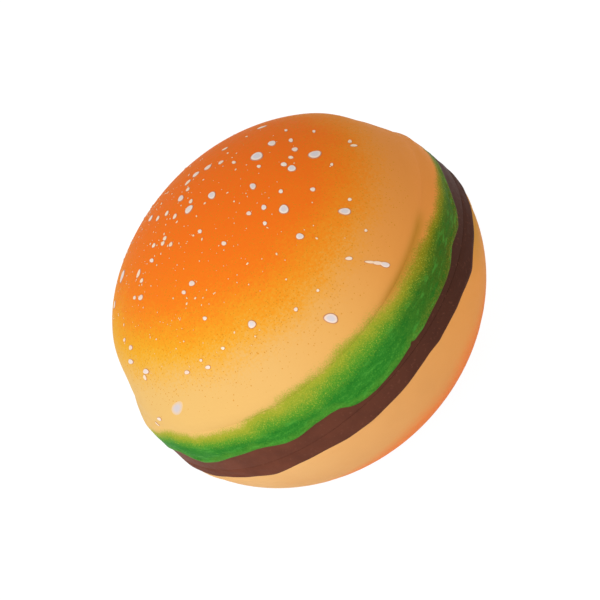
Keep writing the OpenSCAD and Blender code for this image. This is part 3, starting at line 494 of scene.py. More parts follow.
def carved(mesh, tools):
    """A mesh with the tool meshes cut away exactly."""
    blank = bpy.data.objects.new("blank", mesh)
    scene.collection.objects.link(blank)
    helpers = [blank]
    for tool in tools:
        cutter = bpy.data.objects.new("cutter", tool)
        scene.collection.objects.link(cutter)
        cut = blank.modifiers.new("cut", "BOOLEAN")
        cut.operation = "DIFFERENCE"
        cut.solver = "EXACT"
        cut.object = cutter
        helpers.append(cutter)
    graph = bpy.context.evaluated_depsgraph_get()
    result = bpy.data.meshes.new_from_object(blank.evaluated_get(graph))
    for helper in helpers:
        bpy.data.objects.remove(helper)
    return result


# the rear opening for the hinge, and the pocket behind the wall
notch_half, notch_top_z, notch_back = 18.5, 58.0, 75.0
pocket_half, pocket_top_z, pocket_r = 20.0, 60.4, 67.2
cut_low_z, cut_front_y, steps = 30.0, 40.0, 25
notch_x = np.linspace(-notch_half, notch_half, steps)
pocket_x = np.linspace(-pocket_half, pocket_half, steps)
tools = []
for across, back, top in ((notch_x, np.full(steps, notch_back), notch_top_z),
                          (pocket_x, np.sqrt(pocket_r ** 2 - pocket_x ** 2), pocket_top_z)):
    outline = np.concatenate([np.stack([across, np.full(steps, cut_front_y)], 1),
                              np.stack([across, back], 1)[::-1]])
    low_top = np.stack([np.column_stack([outline, np.full(2 * steps, level)])
                        for level in (cut_low_z, top)])
    tool = grid_mesh("opening", low_top.transpose(1, 0, 2) * MM, True, False)
    shape = bmesh.new()
    shape.from_mesh(tool)
    bmesh.ops.holes_fill(shape, edges=shape.edges, sides=0)
    bmesh.ops.recalc_face_normals(shape, faces=shape.faces)
    shape.to_mesh(tool)
    shape.free()
    tools.append(tool)
mesh = carved(mesh, tools)
mesh.name = "lettuce_ring"
mesh.polygons.foreach_set("use_smooth", [True] * len(mesh.polygons))
mesh.set_sharp_from_angle(angle=math.radians(48))


def points_of(mesh):
    """All of a mesh's vertices as an array, in the mesh's own unit."""
    flat = np.empty(len(mesh.vertices) * 3, np.float32)
    mesh.vertices.foreach_get("co", flat)
    return flat.reshape(-1, 3)


def mark(mesh, name, values):
    """Writes one number per vertex as a named attribute."""
    mesh.attributes.new(name, "FLOAT", "POINT").data.foreach_set(
        "value", np.asarray(values, np.float32))


def crease_shade(spots):
    """Olive tint in the crease, partly green overspray and partly painted shade, as a bell curve
    of height: full at 65.8 mm, a third of it 2 mm away, from azimuth -80 to -38."""
    turn = np.degrees(np.arctan2(spots[:, 1], spots[:, 0]))
    return (np.exp(-((spots[:, 2] - 65.8 - crease_rise(turn)) / 2) ** 2)
            * step((turn + 82) / 14) * step((-36 - turn) / 10))


def spray_level(spots):
    """Height above the green's thinning line, in widths of the thinning."""
    turn = np.degrees(np.arctan2(spots[:, 1], spots[:, 0]))
    return (spots[:, 2] - around(LEAF_TOP, turn, 5.0)) / around(SPRAY_WIDTH, turn, 8.0)


spots = points_of(mesh) / MM
turn = np.degrees(np.arctan2(spots[:, 1], spots[:, 0]))
mark(mesh, "above_edge", spots[:, 2] - around(LEAF_EDGE, turn, leaf_edge_soften))
mark(mesh, "spray_level", spray_level(spots))
mark(mesh, "crease_shade", crease_shade(spots))
# the spray covers what lies outside the inner wall, and all of the ring's top
seat_z, skirt_in_r, wall_in_r, covered_z = 51.2, 69.0, 67.25, 60
reach = np.hypot(spots[:, 0], spots[:, 1])
outwards = reach - np.where(spots[:, 2] < seat_z, skirt_in_r, wall_in_r)
mark(mesh, "sprayed_side", np.where(spots[:, 2] > covered_z, 1, np.clip(outwards / 0.15, 0, 1)))


def bun_tan(tree, cross):
    """Bread tan, pale at the left and darker, more orange at the right (partly orange overspray,
    partly painted shade), with an olive tint in the crease (partly overspray, partly painted
    shade).
    """
    # pale at the left, darker and more orange at the right: partly orange overspray, partly painted
    # shade
    span = node(tree, "MapRange", {0: cross, 1: -60 * MM, 2: 60 * MM})
    tan = node(tree, "ValToRGB", {0: span.outputs[0]})
    tan.color_ramp.elements[0].color = paint("#E1B76E")
    tan.color_ramp.elements[1].color = paint("#E38F41")
    for at, code in ((0.3, "#E2B269"), (0.5, "#E3AA5D"), (0.78, "#E39748")):
        tan.color_ramp.elements.new(at).color = paint(code)
    # olive tint in the crease: partly green overspray, partly painted shade
    crease_mist_and_shade = node(tree, "Attribute", attribute_name="crease_shade").outputs["Fac"]
    crease_mist_and_shade = node(tree, "Math", {0: crease_mist_and_shade, 1: 0.62}, operation="MULTIPLY").outputs[0]
    return coats(tree, tan.outputs[0], [(crease_mist_and_shade, "#AD7C1C")])


def green_mist(tree, place, cross, level, under, base):
    """Green spray thinning out: `under` at full, mid green, yellow-green, then bare `base`.

    The level, in widths above the line, is disturbed by 0.55 mm dots and 12 mm puffs."""
    dots = node(tree, "TexNoise", {"Vector": place, "Scale": 1 / (0.55 * MM), "Detail": 2.0,
                                   "Roughness": 0.7}).outputs["Fac"]
    puffs = node(tree, "TexNoise", {"Vector": place, "Scale": 1 / (12 * MM), "Detail": 1.0}
                 ).outputs["Fac"]
    rightwards = node(tree, "MapRange", {0: cross, 1: 0.0, 2: 48 * MM},
                      interpolation_type="SMOOTHSTEP").outputs[0]
    mist = node(tree, "Math", {0: dots, 1: 1.8, 2: level}, operation="MULTIPLY_ADD").outputs[0]
    mist = node(tree, "Math", {0: puffs, 1: 1.8, 2: mist}, operation="MULTIPLY_ADD").outputs[0]
    grit = node(tree, "TexNoise", {"Vector": place, "Scale": 1 / (0.45 * MM), "Detail": 2.0,
                                   "Roughness": 0.8}).outputs["Fac"]
    grains = node(tree, "MapRange", {0: grit, 1: 0.56, 2: 0.66, 3: 0.0, 4: 0.7}).outputs[0]
    layers = []
    for low, high, left, right in ((-0.4, 0.9, "#529026", "#506D14"),
                                   (0.6, 1.9, "#9CA12C", "#8A7F16")):
        tint = coats(tree, paint(left), [(rightwards, right), (grains, "#B9BC42")])
        share = node(tree, "MapRange", {0: mist, 1: low, 2: high, 3: 0.0, 4: 0.95},
                     interpolation_type="SMOOTHSTEP").outputs[0]
        layers.append((share, tint))
    bare = node(tree, "MapRange", {0: mist, 1: 1.7, 2: 3.0},
                interpolation_type="SMOOTHSTEP").outputs[0]
    return coats(tree, under, layers + [(bare, base)])


# airbrushed paint: grainy at its edges, streaked along the leaf, a little glossier than the bun
leaf, tree, shader, place = new_material("leaf_green_airbrushed_paint")
cross = node(tree, "SeparateXYZ", {0: place}).outputs["X"]
over_edge = node(tree, "Attribute", attribute_name="above_edge").outputs["Fac"]
level = node(tree, "Attribute", attribute_name="spray_level").outputs["Fac"]
side = node(tree, "Attribute", attribute_name="sprayed_side").outputs["Fac"]
dots = node(tree, "TexNoise", {"Vector": place, "Scale": 1 / (0.75 * MM), "Detail": 2.0,
                               "Roughness": 0.7}).outputs["Fac"]
puffs = node(tree, "TexNoise", {"Vector": place, "Scale": 1 / (7 * MM), "Detail": 3.0}
             ).outputs["Fac"]
grit = node(tree, "TexNoise", {"Vector": place, "Scale": 1 / (0.6 * MM), "Detail": 3.0,
                               "Roughness": 0.8}).outputs["Fac"]
rightwards = node(tree, "MapRange", {0: cross, 1: 0.0, 2: 48 * MM},
                  interpolation_type="SMOOTHSTEP").outputs[0]
# a deep green, a paler rolled rim that is a painted highlight along the leaf's lip, and clouds
# of a livelier green, each browner at the right
rim_height = node(tree, "Math", {0: puffs, 1: 5.0, 2: over_edge}, operation="MULTIPLY_ADD"
                  ).outputs[0]
lit_rim_share = node(tree, "MapRange", {0: rim_height, 1: 6.2, 2: 3.8, 3: 0.0, 4: 0.9},
                 interpolation_type="SMOOTHSTEP").outputs[0]
mottle = node(tree, "MapRange", {0: puffs, 1: 0.35, 2: 0.7, 3: 0.0, 4: 0.5}).outputs[0]
deep = coats(tree, paint("#287A24"), [(rightwards, "#3D6016")])
# painted highlight on the rolled rim
lit_rim = coats(tree, paint("#4A862A"), [(rightwards, "#4E6219")])
lively = coats(tree, paint("#38882A"), [(rightwards, "#476C1C")])
layers = [(lit_rim_share, lit_rim), (mottle, lively)]
# strokes along the leaf, and the grit of a coarse spray: dark pits and light grains
drawn = node(tree, "Mapping", {"Vector": place, "Scale": (0.3, 0.3, 1.0)}).outputs[0]
strokes = node(tree, "TexNoise", {"Vector": drawn, "Scale": 1 / (1.6 * MM), "Detail": 3.0}
               ).outputs["Fac"]
# (pattern, where it starts, where it is full, its most, colour at the left, at the right)
GRAIN = [(strokes, 0.46, 0.34, 0.6, "#1F6E1F", "#1F6E1F"),
         (strokes, 0.56, 0.68, 0.5, "#4E9F3A", "#4E9F3A"),
         (grit, 0.45, 0.33, 0.6, "#1E6514", "#2B430F"),
         (grit, 0.56, 0.68, 0.5, "#66B03A", "#70862C")]
for pattern, start, full, most, left, right in GRAIN:
    share = node(tree, "MapRange", {0: pattern, 1: start, 2: full, 3: 0.0, 4: most}).outputs[0]
    layers.append((share, coats(tree, paint(left), [(rightwards, right)])))
# at the right the leaf's rim is rubbed, and brown-orange grains show in it
rubbed = node(tree, "MapRange", {0: over_edge, 1: 3.4, 2: 0.8}).outputs[0]
grains = node(tree, "MapRange", {0: grit, 1: 0.5, 2: 0.6, 3: 0.0, 4: 0.6}).outputs[0]
for limit in (rightwards, grains):
    rubbed = node(tree, "Math", {0: rubbed, 1: limit}, operation="MULTIPLY").outputs[0]
green = coats(tree, deep, layers + [(rubbed, "#8A6E25")])
coat = green_mist(tree, place, cross, level, green, bun_tan(tree, cross))
# brown below the leaf's edge, with the paint line a hair uneven; bare moulding inside
line = node(tree, "Math", {0: dots, 1: 0.5, 2: over_edge}, operation="MULTIPLY_ADD").outputs[0]
leafy = node(tree, "MapRange", {0: line, 1: 0.16, 2: 0.42}).outputs[0]
coat = coats(tree, brushed_brown(tree, place), [(leafy, coat)])
coat = coats(tree, paint("#4E9A3E"), [(side, coat)])
sprayed(tree, shader, place, coat, roughness=0.52, pores=0.06)
lettuce = piece("lettuce_leaf", mesh, leaf, "lid")
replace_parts(lettuce, "lettuce_ring")


# ---- Upper bun ----------------------------------------------------------------------
# A domed ABS shell, its spigot inside the lettuce ring. Sprayed tan, then golden and deep
# orange towards the crown, with a soft edge that rolls in to the crease above the leaf.

# the roll-in starts at roll_start_z and is counted down to roll_most mm below it; from
# still_z up nothing wanders with the crease
roll_start_z, roll_most, still_z = 73.0, 9, 76
wall = 2.6
swell_middle, swell_reach, swell_height = (-42, 34, 88), 17, 1.9
bun_centre = np.array([0, 0, waist_z])
bun_radii = np.array([bun_r, bun_r, crown_rise])


def on_bun(points):
    """Points near the bun moved onto its skin; also the skin's outward normals.

    The skin is the oval (r / 70)^2 + ((z - 51) / 58)^2 = 1, pushed in by up to 0.2 mm of
    slow waves, by roll_depth * ((73 - z) / 7)^2 below 73 mm and by the side pinches, and
    swollen by up to 1.9 mm at the rear left, as a bell curve of the distance from there. The
    roll-in wanders with the crease."""
    unit = (points - bun_centre) / bun_radii
    unit = unit / np.linalg.norm(unit, axis=-1, keepdims=True)
    spot = bun_centre + unit * bun_radii
    normal = unit / bun_radii
    normal = normal / np.linalg.norm(normal, axis=-1, keepdims=True)
    x, y, z = spot[..., 0], spot[..., 1], spot[..., 2]
    push = 0.05 * (2 + np.sin(x / 13 + y / 21) + np.sin(y / 15 - x / 30 + z / 19))
    turn = np.degrees(np.arctan2(y, x))
    rise = crease_rise(turn)
    roll_z = z - rise * np.clip((still_z - z) / (still_z - crease_z - rise), 0, 1)
    rolled = np.clip(roll_start_z - roll_z, 0, roll_most) / (roll_start_z - crease_z)
    push = push + roll_depth(turn) * rolled ** 2
    push = push + pinch(turn, z)
    swell = ((spot - np.array(swell_middle)) ** 2).sum(-1) / swell_reach ** 2
    push = push - swell_height * np.exp(-swell / 2)
    return spot - normal * push[..., None] * np.array([1, 1, 0.0]), normal


def oval_dome(radius, height, tilt, a):
    """Points of an oval dome over the waist: at each tilt, radius * cos(tilt) outwards and
    height * sin(tilt) up."""
    return np.stack([radius * np.cos(tilt) * np.cos(a), radius * np.cos(tilt) * np.sin(a),
                     waist_z + height * np.sin(tilt) + 0 * a], -1)


degrees = np.arange(400) * 0.9
a = np.radians(degrees)[:, None]
rise = crease_rise(degrees)[:, None]
tilt = np.linspace(np.arcsin((crease_z + 0.05 + rise[:, 0] - waist_z) / crown_rise),
                   math.pi / 2, 100, axis=-1)
dome, _ = on_bun(oval_dome(bun_r, crown_rise, tilt, a))
# the lip under the dome: how far in from its edge, and how high, at the lip's two corners
lip_in, lip_level = np.array([[1.5, 0.5]]), np.array([[66.5, 66.1]])
lip_r = np.hypot(dome[:, :1, 0], dome[:, :1, 1]) - lip_in
lip_z = lip_level + rise
lip = np.stack([lip_r * np.cos(a), lip_r * np.sin(a), lip_z], -1)
# the hollow, from its top down to the lip: 4.5% narrower at its foot, and not from 76 mm up
lip_h, narrowing = 1.4, 0.045
tilt = np.linspace(np.full(len(degrees), math.pi / 2), np.arcsin(
    (crease_z + lip_h + rise[:, 0] - waist_z) / (crown_rise - wall)), 16, axis=-1)
hollow = oval_dome(bun_r - wall, crown_rise - wall, tilt, a)
foot_share = 1 - step((hollow[..., 2:] - crease_z) / (still_z - crease_z))
hollow[..., :2] *= 1 - narrowing * foot_share
shell = np.concatenate([lip, dome, hollow], 1) * MM
mesh = grid_mesh("upper_bun", shell, True, True, merge=2e-6)
mesh.set_sharp_from_angle(angle=math.radians(60))

spots = points_of(mesh) / MM
mark(mesh, "spray_level", spray_level(spots))
mark(mesh, "crease_shade", crease_shade(spots))

# rubbery sprayed paint, as on the heel, but fogged on in grainy bands of colour
crust, tree, shader, place = new_material("crown_bun_soft_touch_paint")
axes = node(tree, "SeparateXYZ", {0: place})
cross, height = axes.outputs["X"], axes.outputs["Z"]
dots = node(tree, "TexNoise", {"Vector": place, "Scale": 1 / (0.95 * MM), "Detail": 3.0,
                               "Roughness": 0.75}).outputs["Fac"]
puffs = node(tree, "TexNoise", {"Vector": place, "Scale": 1 / (9 * MM), "Detail": 3.0}
             ).outputs["Fac"]
clouds = node(tree, "TexNoise", {"Vector": place, "Scale": 1 / (26 * MM), "Detail": 2.0}
              ).outputs["Fac"]
rightwards = node(tree, "MapRange", {0: cross, 1: -50 * MM, 2: 50 * MM}).outputs[0]
# height of the spray: noises lift it by 20, 5 and 5 mm at most, it leans to the right, and
# it comes 9 mm lower at the left, round the back
leftwards = node(tree, "MapRange", {0: cross, 1: 0.0, 2: -55 * MM}).outputs[0]
backwards = node(tree, "MapRange", {0: axes.outputs["Y"], 1: -20 * MM, 2: 30 * MM, 3: 0.0,
                                    4: 9 * MM}).outputs[0]
spray = node(tree, "Math", {0: leftwards, 1: backwards, 2: height}, operation="MULTIPLY_ADD"
             ).outputs[0]
for noise, lift in ((dots, 20), (puffs, 5), (clouds, 5)):
    spray = node(tree, "Math", {0: noise, 1: lift * MM, 2: spray}, operation="MULTIPLY_ADD"
                 ).outputs[0]
mean_lift = 15.0
# each band is deeper in colour at the right: partly redder paint, partly painted shade
# (lean per mm to the right, height where it starts, where it is full, colour left, right)
BANDS = [(0.03, 77.5, 92.5, "#E8A926", "#E68D1F"), (0.09, 85, 102, "#F07F1B", "#EE711A"),
         (0.09, 97, 112, "#F3751C", "#EF6B1A")]
layers = []
for lean, low, high, left, right in BANDS:
    leaning = node(tree, "Math", {0: cross, 1: lean, 2: spray}, operation="MULTIPLY_ADD"
                   ).outputs[0]
    share = node(tree, "MapRange", {0: leaning, 1: (low + mean_lift) * MM,
                                    2: (high + mean_lift) * MM},
                 interpolation_type="SMOOTHSTEP").outputs[0]
    layers.append((share, coats(tree, paint(left), [(rightwards, right)])))
# stray droplets of the orange coat below its edge, 0.2 to 0.5 mm across
cells = node(tree, "TexVoronoi", {"Vector": place, "Scale": 1 / (0.9 * MM)})
tone = node(tree, "SeparateColor", {0: cells.outputs["Color"]})
size = node(tree, "MapRange", {0: tone.outputs[0], 3: 0.1, 4: 0.3}).outputs[0]
inside_dot = node(tree, "Math", {0: cells.outputs["Distance"], 1: size}, operation="LESS_THAN")
kept = node(tree, "MapRange", {0: spray, 1: (72 + mean_lift) * MM, 2: (86 + mean_lift) * MM,
                               3: 0.0, 4: 0.95}).outputs[0]
kept = node(tree, "Math", {0: tone.outputs[1], 1: kept}, operation="LESS_THAN").outputs[0]
splash = inside_dot.outputs[0]
for limit in (kept, 0.75):
    splash = node(tree, "Math", {0: splash, 1: limit}, operation="MULTIPLY").outputs[0]
coat = coats(tree, bun_tan(tree, cross), layers + [(splash, "#D0851C")])
# the leaf's green mist reaches over the crease
level = node(tree, "Attribute", attribute_name="spray_level").outputs["Fac"]
coat = green_mist(tree, place, cross, level, coat, coat)
sprayed(tree, shader, place, coat, roughness=0.56, pores=0.03)
upper_bun = piece("upper_bun", mesh, crust, "lid")
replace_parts(upper_bun, "top_bun")


# ---- Sesame splashes ----------------------------------------------------------------
# Drops of thick cream paint flicked onto the crown with a stiff brush and left to dry:
# flat raised blobs with a rounded rim, from large sesame-seed drops down to fine specks.

# (column, row, length, width, tilt anticlockwise) of the drops in view, in frame pixels
DROPS = [(257, 156, 12.5, 7, 20), (272, 143, 8, 5, 10), (286, 130, 3, 3, 0), (291, 140, 4, 4, 0),
         (295, 149, 6, 4, 0), (291, 157, 5, 3, 0), (284, 164, 6, 4, 0), (292, 168, 8, 6, 0),
         (259, 166, 4, 3, 0), (234, 162, 4, 3, 0), (221, 162, 6, 3, 35), (208, 167, 8, 4, 35),
         (196, 174, 8, 4, 40), (188, 182, 8, 3, 45), (188, 189, 5, 3, 50), (225, 148.5, 7, 2.4, 25),
         (262, 127, 10, 3, 20), (253, 186, 6, 6, 0), (212, 195, 8, 6, 50), (181, 198, 7, 5, 50),
         (191, 201, 5, 3, 60), (189, 209, 10, 5, 50), (167, 213, 6, 3, 60), (175, 216, 6, 3, 60),
         (158, 218, 6, 3, 65), (151, 218, 7, 4, 60), (281, 191, 4, 4, 0), (264, 207, 5, 5, 0),
         (284, 209, 9.5, 8.5, 0), (249, 213, 5, 4, 0), (265, 223, 4, 4, 0), (200, 231, 4, 4, 0),
         (165, 238, 5, 3, 60), (163, 243, 5, 3, 60), (171, 244, 5, 3, 60), (154, 245, 5, 3, 60),
         (224, 243, 5, 4, 0), (300, 236, 7.5, 6, 0), (315, 154, 12.5, 7, 10), (314, 131, 3, 3, 0),
         (354, 145, 7, 2.4, 0), (350, 141, 4, 3, 0), (332, 164, 3, 3, 0), (313, 189, 5, 4, 0),
         (350, 199, 4, 3, 0), (345, 211, 12, 6.5, 0), (366, 230, 3, 3, 0), (349, 258, 7, 3.6, 0),
         (152, 260, 4, 4, 0), (192, 283, 6, 5, 20), (184, 292, 4, 4, 0), (124, 275, 13, 5, 70),
         (139, 273, 9, 3, 70), (142, 280, 5, 3, 60), (117, 303, 8, 4, 75), (135, 297, 4, 3, 60),
         (141, 297, 6, 4, 60), (205, 318, 4, 4, 0), (252, 324, 8, 7.5, 0), (331, 318, 14, 9, -10),
         (131, 347, 5, 4, 70), (125, 339, 4, 3, 70), (131, 361, 6, 5, 0), (146, 371, 6, 5, 0),
         (208, 367, 5, 4, 0), (201, 360, 3, 3, 0), (223, 348, 4, 3, 0), (177, 408, 13, 10, 70),
         (296, 309, 4, 4, 0), (318, 290, 3, 3, 0), (370, 261.6, 10, 2.8, -4),
         (378, 262.6, 11, 3.6, -6), (385, 264.2, 10, 5.2, -12), (156, 426.5, 8, 3.6, 122),
         (159, 419, 5, 4, 0), (145, 377, 6, 3, 110), (187, 372, 5, 4, 0)]
faded_drop = (177, 408)      # rubbed down to a grey stain


def blobs(centres, half_a, half_b, heights, sides, rings, seed):
    """Closed flat-topped blobs on the bun, as one array of points (blob, ring, side, xyz).

    Each is an ellipse with half axes a and b, its edge wavy by 3% and 5%, laid on the skin
    and raised by its height times sqrt(1 - ring^4); the last ring lies 0.12 mm under it."""
    rng = np.random.default_rng(seed)
    turn = np.arange(sides) * 2 * np.pi / sides
    phase_2, phase_3 = rng.uniform(0, 2 * np.pi, (2, len(centres), 1))
    wave = 1 + 0.03 * np.sin(2 * turn + phase_2) + 0.05 * np.sin(3 * turn + phase_3)
    share = np.array(rings)[None, :, None] * wave[:, None, :]
    flat = (centres[:, None, None, :]
            + share[..., None] * (np.cos(turn)[None, None, :, None] * half_a[:, None, None, :]
                                  + np.sin(turn)[None, None, :, None] * half_b[:, None, None, :]))
    skin, normal = on_bun(flat)
    lift = np.sqrt(np.clip(1 - np.array(rings) ** 4, 0, 1))[None, :, None]
    lift = np.where(np.array(rings)[None, :, None] >= 1, -0.12, lift * heights[:, None, None])
    return skin + normal * lift[..., None]


def blob_mesh(name, groups):
    """One mesh of several groups of blobs; each blob's rings are joined and both ends closed."""
    places, faces, start = [], [], 0
    for group in groups:
        count, rings, sides = group.shape[:3]
        places.append(group.reshape(-1, 3))
        first = start + np.arange(count)[:, None, None] * rings * sides
        ring = np.arange(rings - 1)[None, :, None] * sides
        here = np.arange(sides)[None, None, :]
        there = (here + 1) % sides
        quads = np.stack([first + ring + here, first + ring + sides + here,
                          first + ring + sides + there, first + ring + there], -1)
        faces += quads.reshape(-1, 4).tolist()
        ends = first[:, 0] + np.arange(sides)[None, :]
        faces += ends.tolist()
        faces += (ends[:, ::-1] + (rings - 1) * sides).tolist()
        start += count * rings * sides
    mesh = bpy.data.meshes.new(name)
    mesh.from_pydata((np.concatenate(places) * MM).tolist(), [], faces)
    mesh.polygons.foreach_set("use_smooth", [True] * len(mesh.polygons))
    return mesh


# each listed drop lies where its line of sight first meets the oval: eye + travel * sight
listed = np.array(DROPS, float)
middle_column, middle_row = 300, 299.5       # of the frame, in pixels
focus = stand_off / (mm_per_pixel * MM)      # in pixels
sight = (np.outer((listed[:, 0] - middle_column) / focus, image_right)
         + np.outer((middle_row - listed[:, 1]) / focus, image_up) - np.array(towards_camera))
eye = np.array(camera_place) / MM
outset, along = (eye - bun_centre) / bun_radii, sight / bun_radii
square, slope, rest = (along ** 2).sum(1), (along * outset).sum(1), (outset ** 2).sum() - 1
travel = (-slope - np.sqrt(np.maximum(slope ** 2 - square * rest, 0))) / square
centres = eye + sight * travel[:, None]
_, normal = on_bun(centres)
slant = np.radians(listed[:, 4])
right, up = np.array(image_right), np.array(image_up)
axis_a = np.outer(np.cos(slant), right) + np.outer(np.sin(slant), up)
axis_b = np.outer(-np.sin(slant), right) + np.outer(np.cos(slant), up)
# how squarely each is seen, counted as 0.5 at least, so that none is drawn out too far
facing = np.maximum((normal * -sight).sum(1, keepdims=True), 0.5)


def laid(axis, size):
    """An in-picture axis slid along the line of sight onto the skin's tangent plane."""
    slide = (normal * axis).sum(1, keepdims=True) / facing
    return (axis + slide * sight) * (size[:, None] * mm_per_pixel / 2)


film_and_shadow_growth = 1.13     # a drop's dark rim, its brown film and painted shadow, is part of it, and isn't in its listed size
half_a = laid(axis_a, listed[:, 2] * film_and_shadow_growth)
half_b = laid(axis_b, listed[:, 3] * film_and_shadow_growth)
faded = (listed[:, :2] == faded_drop).all(1)
drop_rings, speck_rings = [0.3, 0.55, 0.74, 0.88, 0.95, 1.0], [0.45, 0.85, 1.0]
# in mm: a broad drop stands higher, and the faded one is all but flat
heights = (0.16 + 0.02 * listed[:, 3]) * np.where(faded, 0.2, 1)
seen_drops = blobs(centres, half_a, half_b, heights, 22, drop_rings, 5)


def scattered(count, seed, half_mm, spread, keep):
    """Seeded random drops on the bun: centres even over the sphere of directions, kept by
    the given share, with log-normal sizes and stretched up to 1.7 times one way."""
    rng = np.random.default_rng(seed)
    way = rng.normal(size=(count * 12, 3))
    way = way / np.linalg.norm(way, axis=1, keepdims=True)
    spot = bun_centre + way * bun_radii
    spot = spot[rng.uniform(size=len(spot)) < keep(spot)][:count]
    _, out = on_bun(spot)
    side = np.cross(out, np.array([0.3, 0.2, 1.0]))
    side = side / np.linalg.norm(side, axis=1, keepdims=True)
    other = np.cross(out, side)
    size = np.clip(half_mm * np.exp(rng.normal(0, spread, len(spot))), 0.3 * half_mm,
                   2.6 * half_mm)[:, None]
    spin = rng.uniform(0, np.pi, len(spot))[:, None]
    long = rng.uniform(1, 1.7, len(spot))[:, None]
    first = (np.cos(spin) * side + np.sin(spin) * other) * size * long
    second = (-np.sin(spin) * side + np.cos(spin) * other) * size
    return spot, first, second, size[:, 0]


def crown_share(spot):
    """Share of fine specks kept: none below 78 mm, most near the crown and the left."""
    across, height = spot[:, 0], spot[:, 2]
    return step((height - 78) / 30) ** 1.3 * np.clip(0.45 - 0.009 * across, 0.05, 1)


def rear_share(spot):
    """Share of larger drops kept at the rear: above 78 mm, where the listed ones don't reach."""
    out_front = (spot - bun_centre) / bun_radii ** 2 @ np.array(towards_camera)
    return step((spot[:, 2] - 78) / 16) * (out_front < -0.001) * 0.6


spot, first, second, size = scattered(560, 11, 0.19, 0.5, crown_share)
specks = blobs(spot, first, second, 0.08 + 0.25 * size, 9, speck_rings, 6)
spot, first, second, size = scattered(46, 12, 0.85, 0.4, rear_share)
rear_drops = blobs(spot, first, second, 0.15 + 0.1 * size, 18, drop_rings, 7)
# (blobs, their rings, breadth of each in mm, whether each is fresh or faded)
GROUPS = [(seen_drops, drop_rings, listed[:, 3] * mm_per_pixel, ~faded),
          (specks, speck_rings, np.full(len(specks), 0.3), np.ones(len(specks))),
          (rear_drops, drop_rings, 2 * size, np.ones(len(rear_drops)))]
mesh = blob_mesh("sesame_splashes", [group for group, _, _, _ in GROUPS])
ring_share, breadth, fresh = [], [], []
for group, rings, broad, whole in GROUPS:
    count, _, sides = group.shape[:3]
    ring_share.append(np.tile(np.repeat(rings, sides), count))
    breadth.append(np.repeat(broad, len(rings) * sides))
    fresh.append(np.repeat(whole, len(rings) * sides))
for name, values in (("ring_share", ring_share), ("breadth", breadth), ("fresh", fresh)):
    mark(mesh, name, np.concatenate(values))

# thick cream paint: smooth, a little glossy, stained by the orange where it is thin, and
# darkened round its rim by painted shadow
sesame, tree, shader, place = new_material("sesame_cream_flicked_paint")
breadth = node(tree, "Attribute", attribute_name="breadth").outputs["Fac"]
ring_share = node(tree, "Attribute", attribute_name="ring_share").outputs["Fac"]
fresh = node(tree, "Attribute", attribute_name="fresh").outputs["Fac"]
cloud = node(tree, "TexNoise", {"Vector": place, "Scale": 1 / (14 * MM), "Detail": 1.0})
streak = node(tree, "TexNoise", {"Vector": place, "Scale": 1 / (1.2 * MM), "Detail": 2.0})
pinkish = node(tree, "MapRange", {0: cloud.outputs["Fac"], 1: 0.38, 2: 0.62}).outputs[0]
thin = node(tree, "MapRange", {0: streak.outputs["Fac"], 1: 0.5, 2: 0.8, 3: 0.0, 4: 0.35}
            ).outputs[0]
# small drops dry thin, so the orange below warms them
small = node(tree, "MapRange", {0: breadth, 1: 0.5, 2: 1.6, 3: 0.75, 4: 0.0}).outputs[0]
# large drops settle to a lilac-grey middle
large = node(tree, "MapRange", {0: breadth, 1: 1.2, 2: 2.2, 3: 0.0, 4: 0.85}).outputs[0]
middle = node(tree, "MapRange", {0: ring_share, 1: 0.72, 2: 0.45}).outputs[0]
middle = node(tree, "Math", {0: middle, 1: large}, operation="MULTIPLY").outputs[0]
# at the rim the paint is a film, darkened by the orange under it and by painted shadow round the
# drop's edge
rim_film_and_shadow = node(tree, "MapRange", {0: ring_share, 1: 0.76, 2: 0.9, 3: 0.0, 4: 0.9}).outputs[0]
cream_paint = coats(tree, paint("#F0E4D6"), [(pinkish, "#EDD2BE"), (thin, "#DDB7A4"),
                                             (small, "#F0CE94"), (middle, "#CFC8CE"),
                                             (rim_film_and_shadow, "#B0652F")])
# the faded drop is rubbed down to a grey stain
rubbed = node(tree, "MapRange", {0: ring_share, 1: 0.4, 2: 0.95}).outputs[0]
stain = coats(tree, paint("#C9C0C4"), [(rubbed, "#E3BE86")])
tree.links.new(coats(tree, stain, [(fresh, cream_paint)]), shader.inputs["Base Color"])
shader.inputs["Roughness"].default_value = 0.38
piece("sesame_splashes", mesh, sesame, "lid")


# ---- Lid's inner face ---------------------------------------------------------------
# Cream ABS plate, injection moulded with a fine spark-eroded grain, carrying the earpiece
# dish, the receiver's collar and the middle hinge knuckle. Held by four cross-head screws.
def moulded(name, code, shade, grain, depth, roughness, level=0.5):
    """A moulded polymer: two near shades in 14 mm clouds, a grain of `grain` mm raised by
    `depth` mm, and a gloss that is duller in the grain's hollows."""
    material, tree, shader, place = new_material(name)
    cloud = node(tree, "TexNoise", {"Vector": place, "Scale": 1 / (14 * MM), "Detail": 2.0})
    share = node(tree, "MapRange", {0: cloud.outputs["Fac"], 1: 0.35, 2: 0.65}).outputs[0]
    tree.links.new(coats(tree, paint(code), [(share, shade)]), shader.inputs["Base Color"])
    fine = node(tree, "TexNoise", {"Vector": place, "Scale": 1 / (grain * MM), "Detail": 2.0})
    bump = node(tree, "Bump", {"Height": fine.outputs["Fac"], "Distance": depth * MM})
    tree.links.new(bump.outputs[0], shader.inputs["Normal"])
    gloss = node(tree, "MapRange", {0: fine.outputs["Fac"], 1: 0.3, 2: 0.7,
                                    3: roughness - 0.05, 4: roughness + 0.07})
    tree.links.new(gloss.outputs[0], shader.inputs["Roughness"])
    shader.inputs["Specular IOR Level"].default_value = level
    return material


# satin ABS: soft, even light with a fine tooth
cream = moulded("cream_abs_satin", "#F0DDB6", "#EBD5A8", 0.45, 0.02, 0.38)
wear("earpiece_plate", cream)


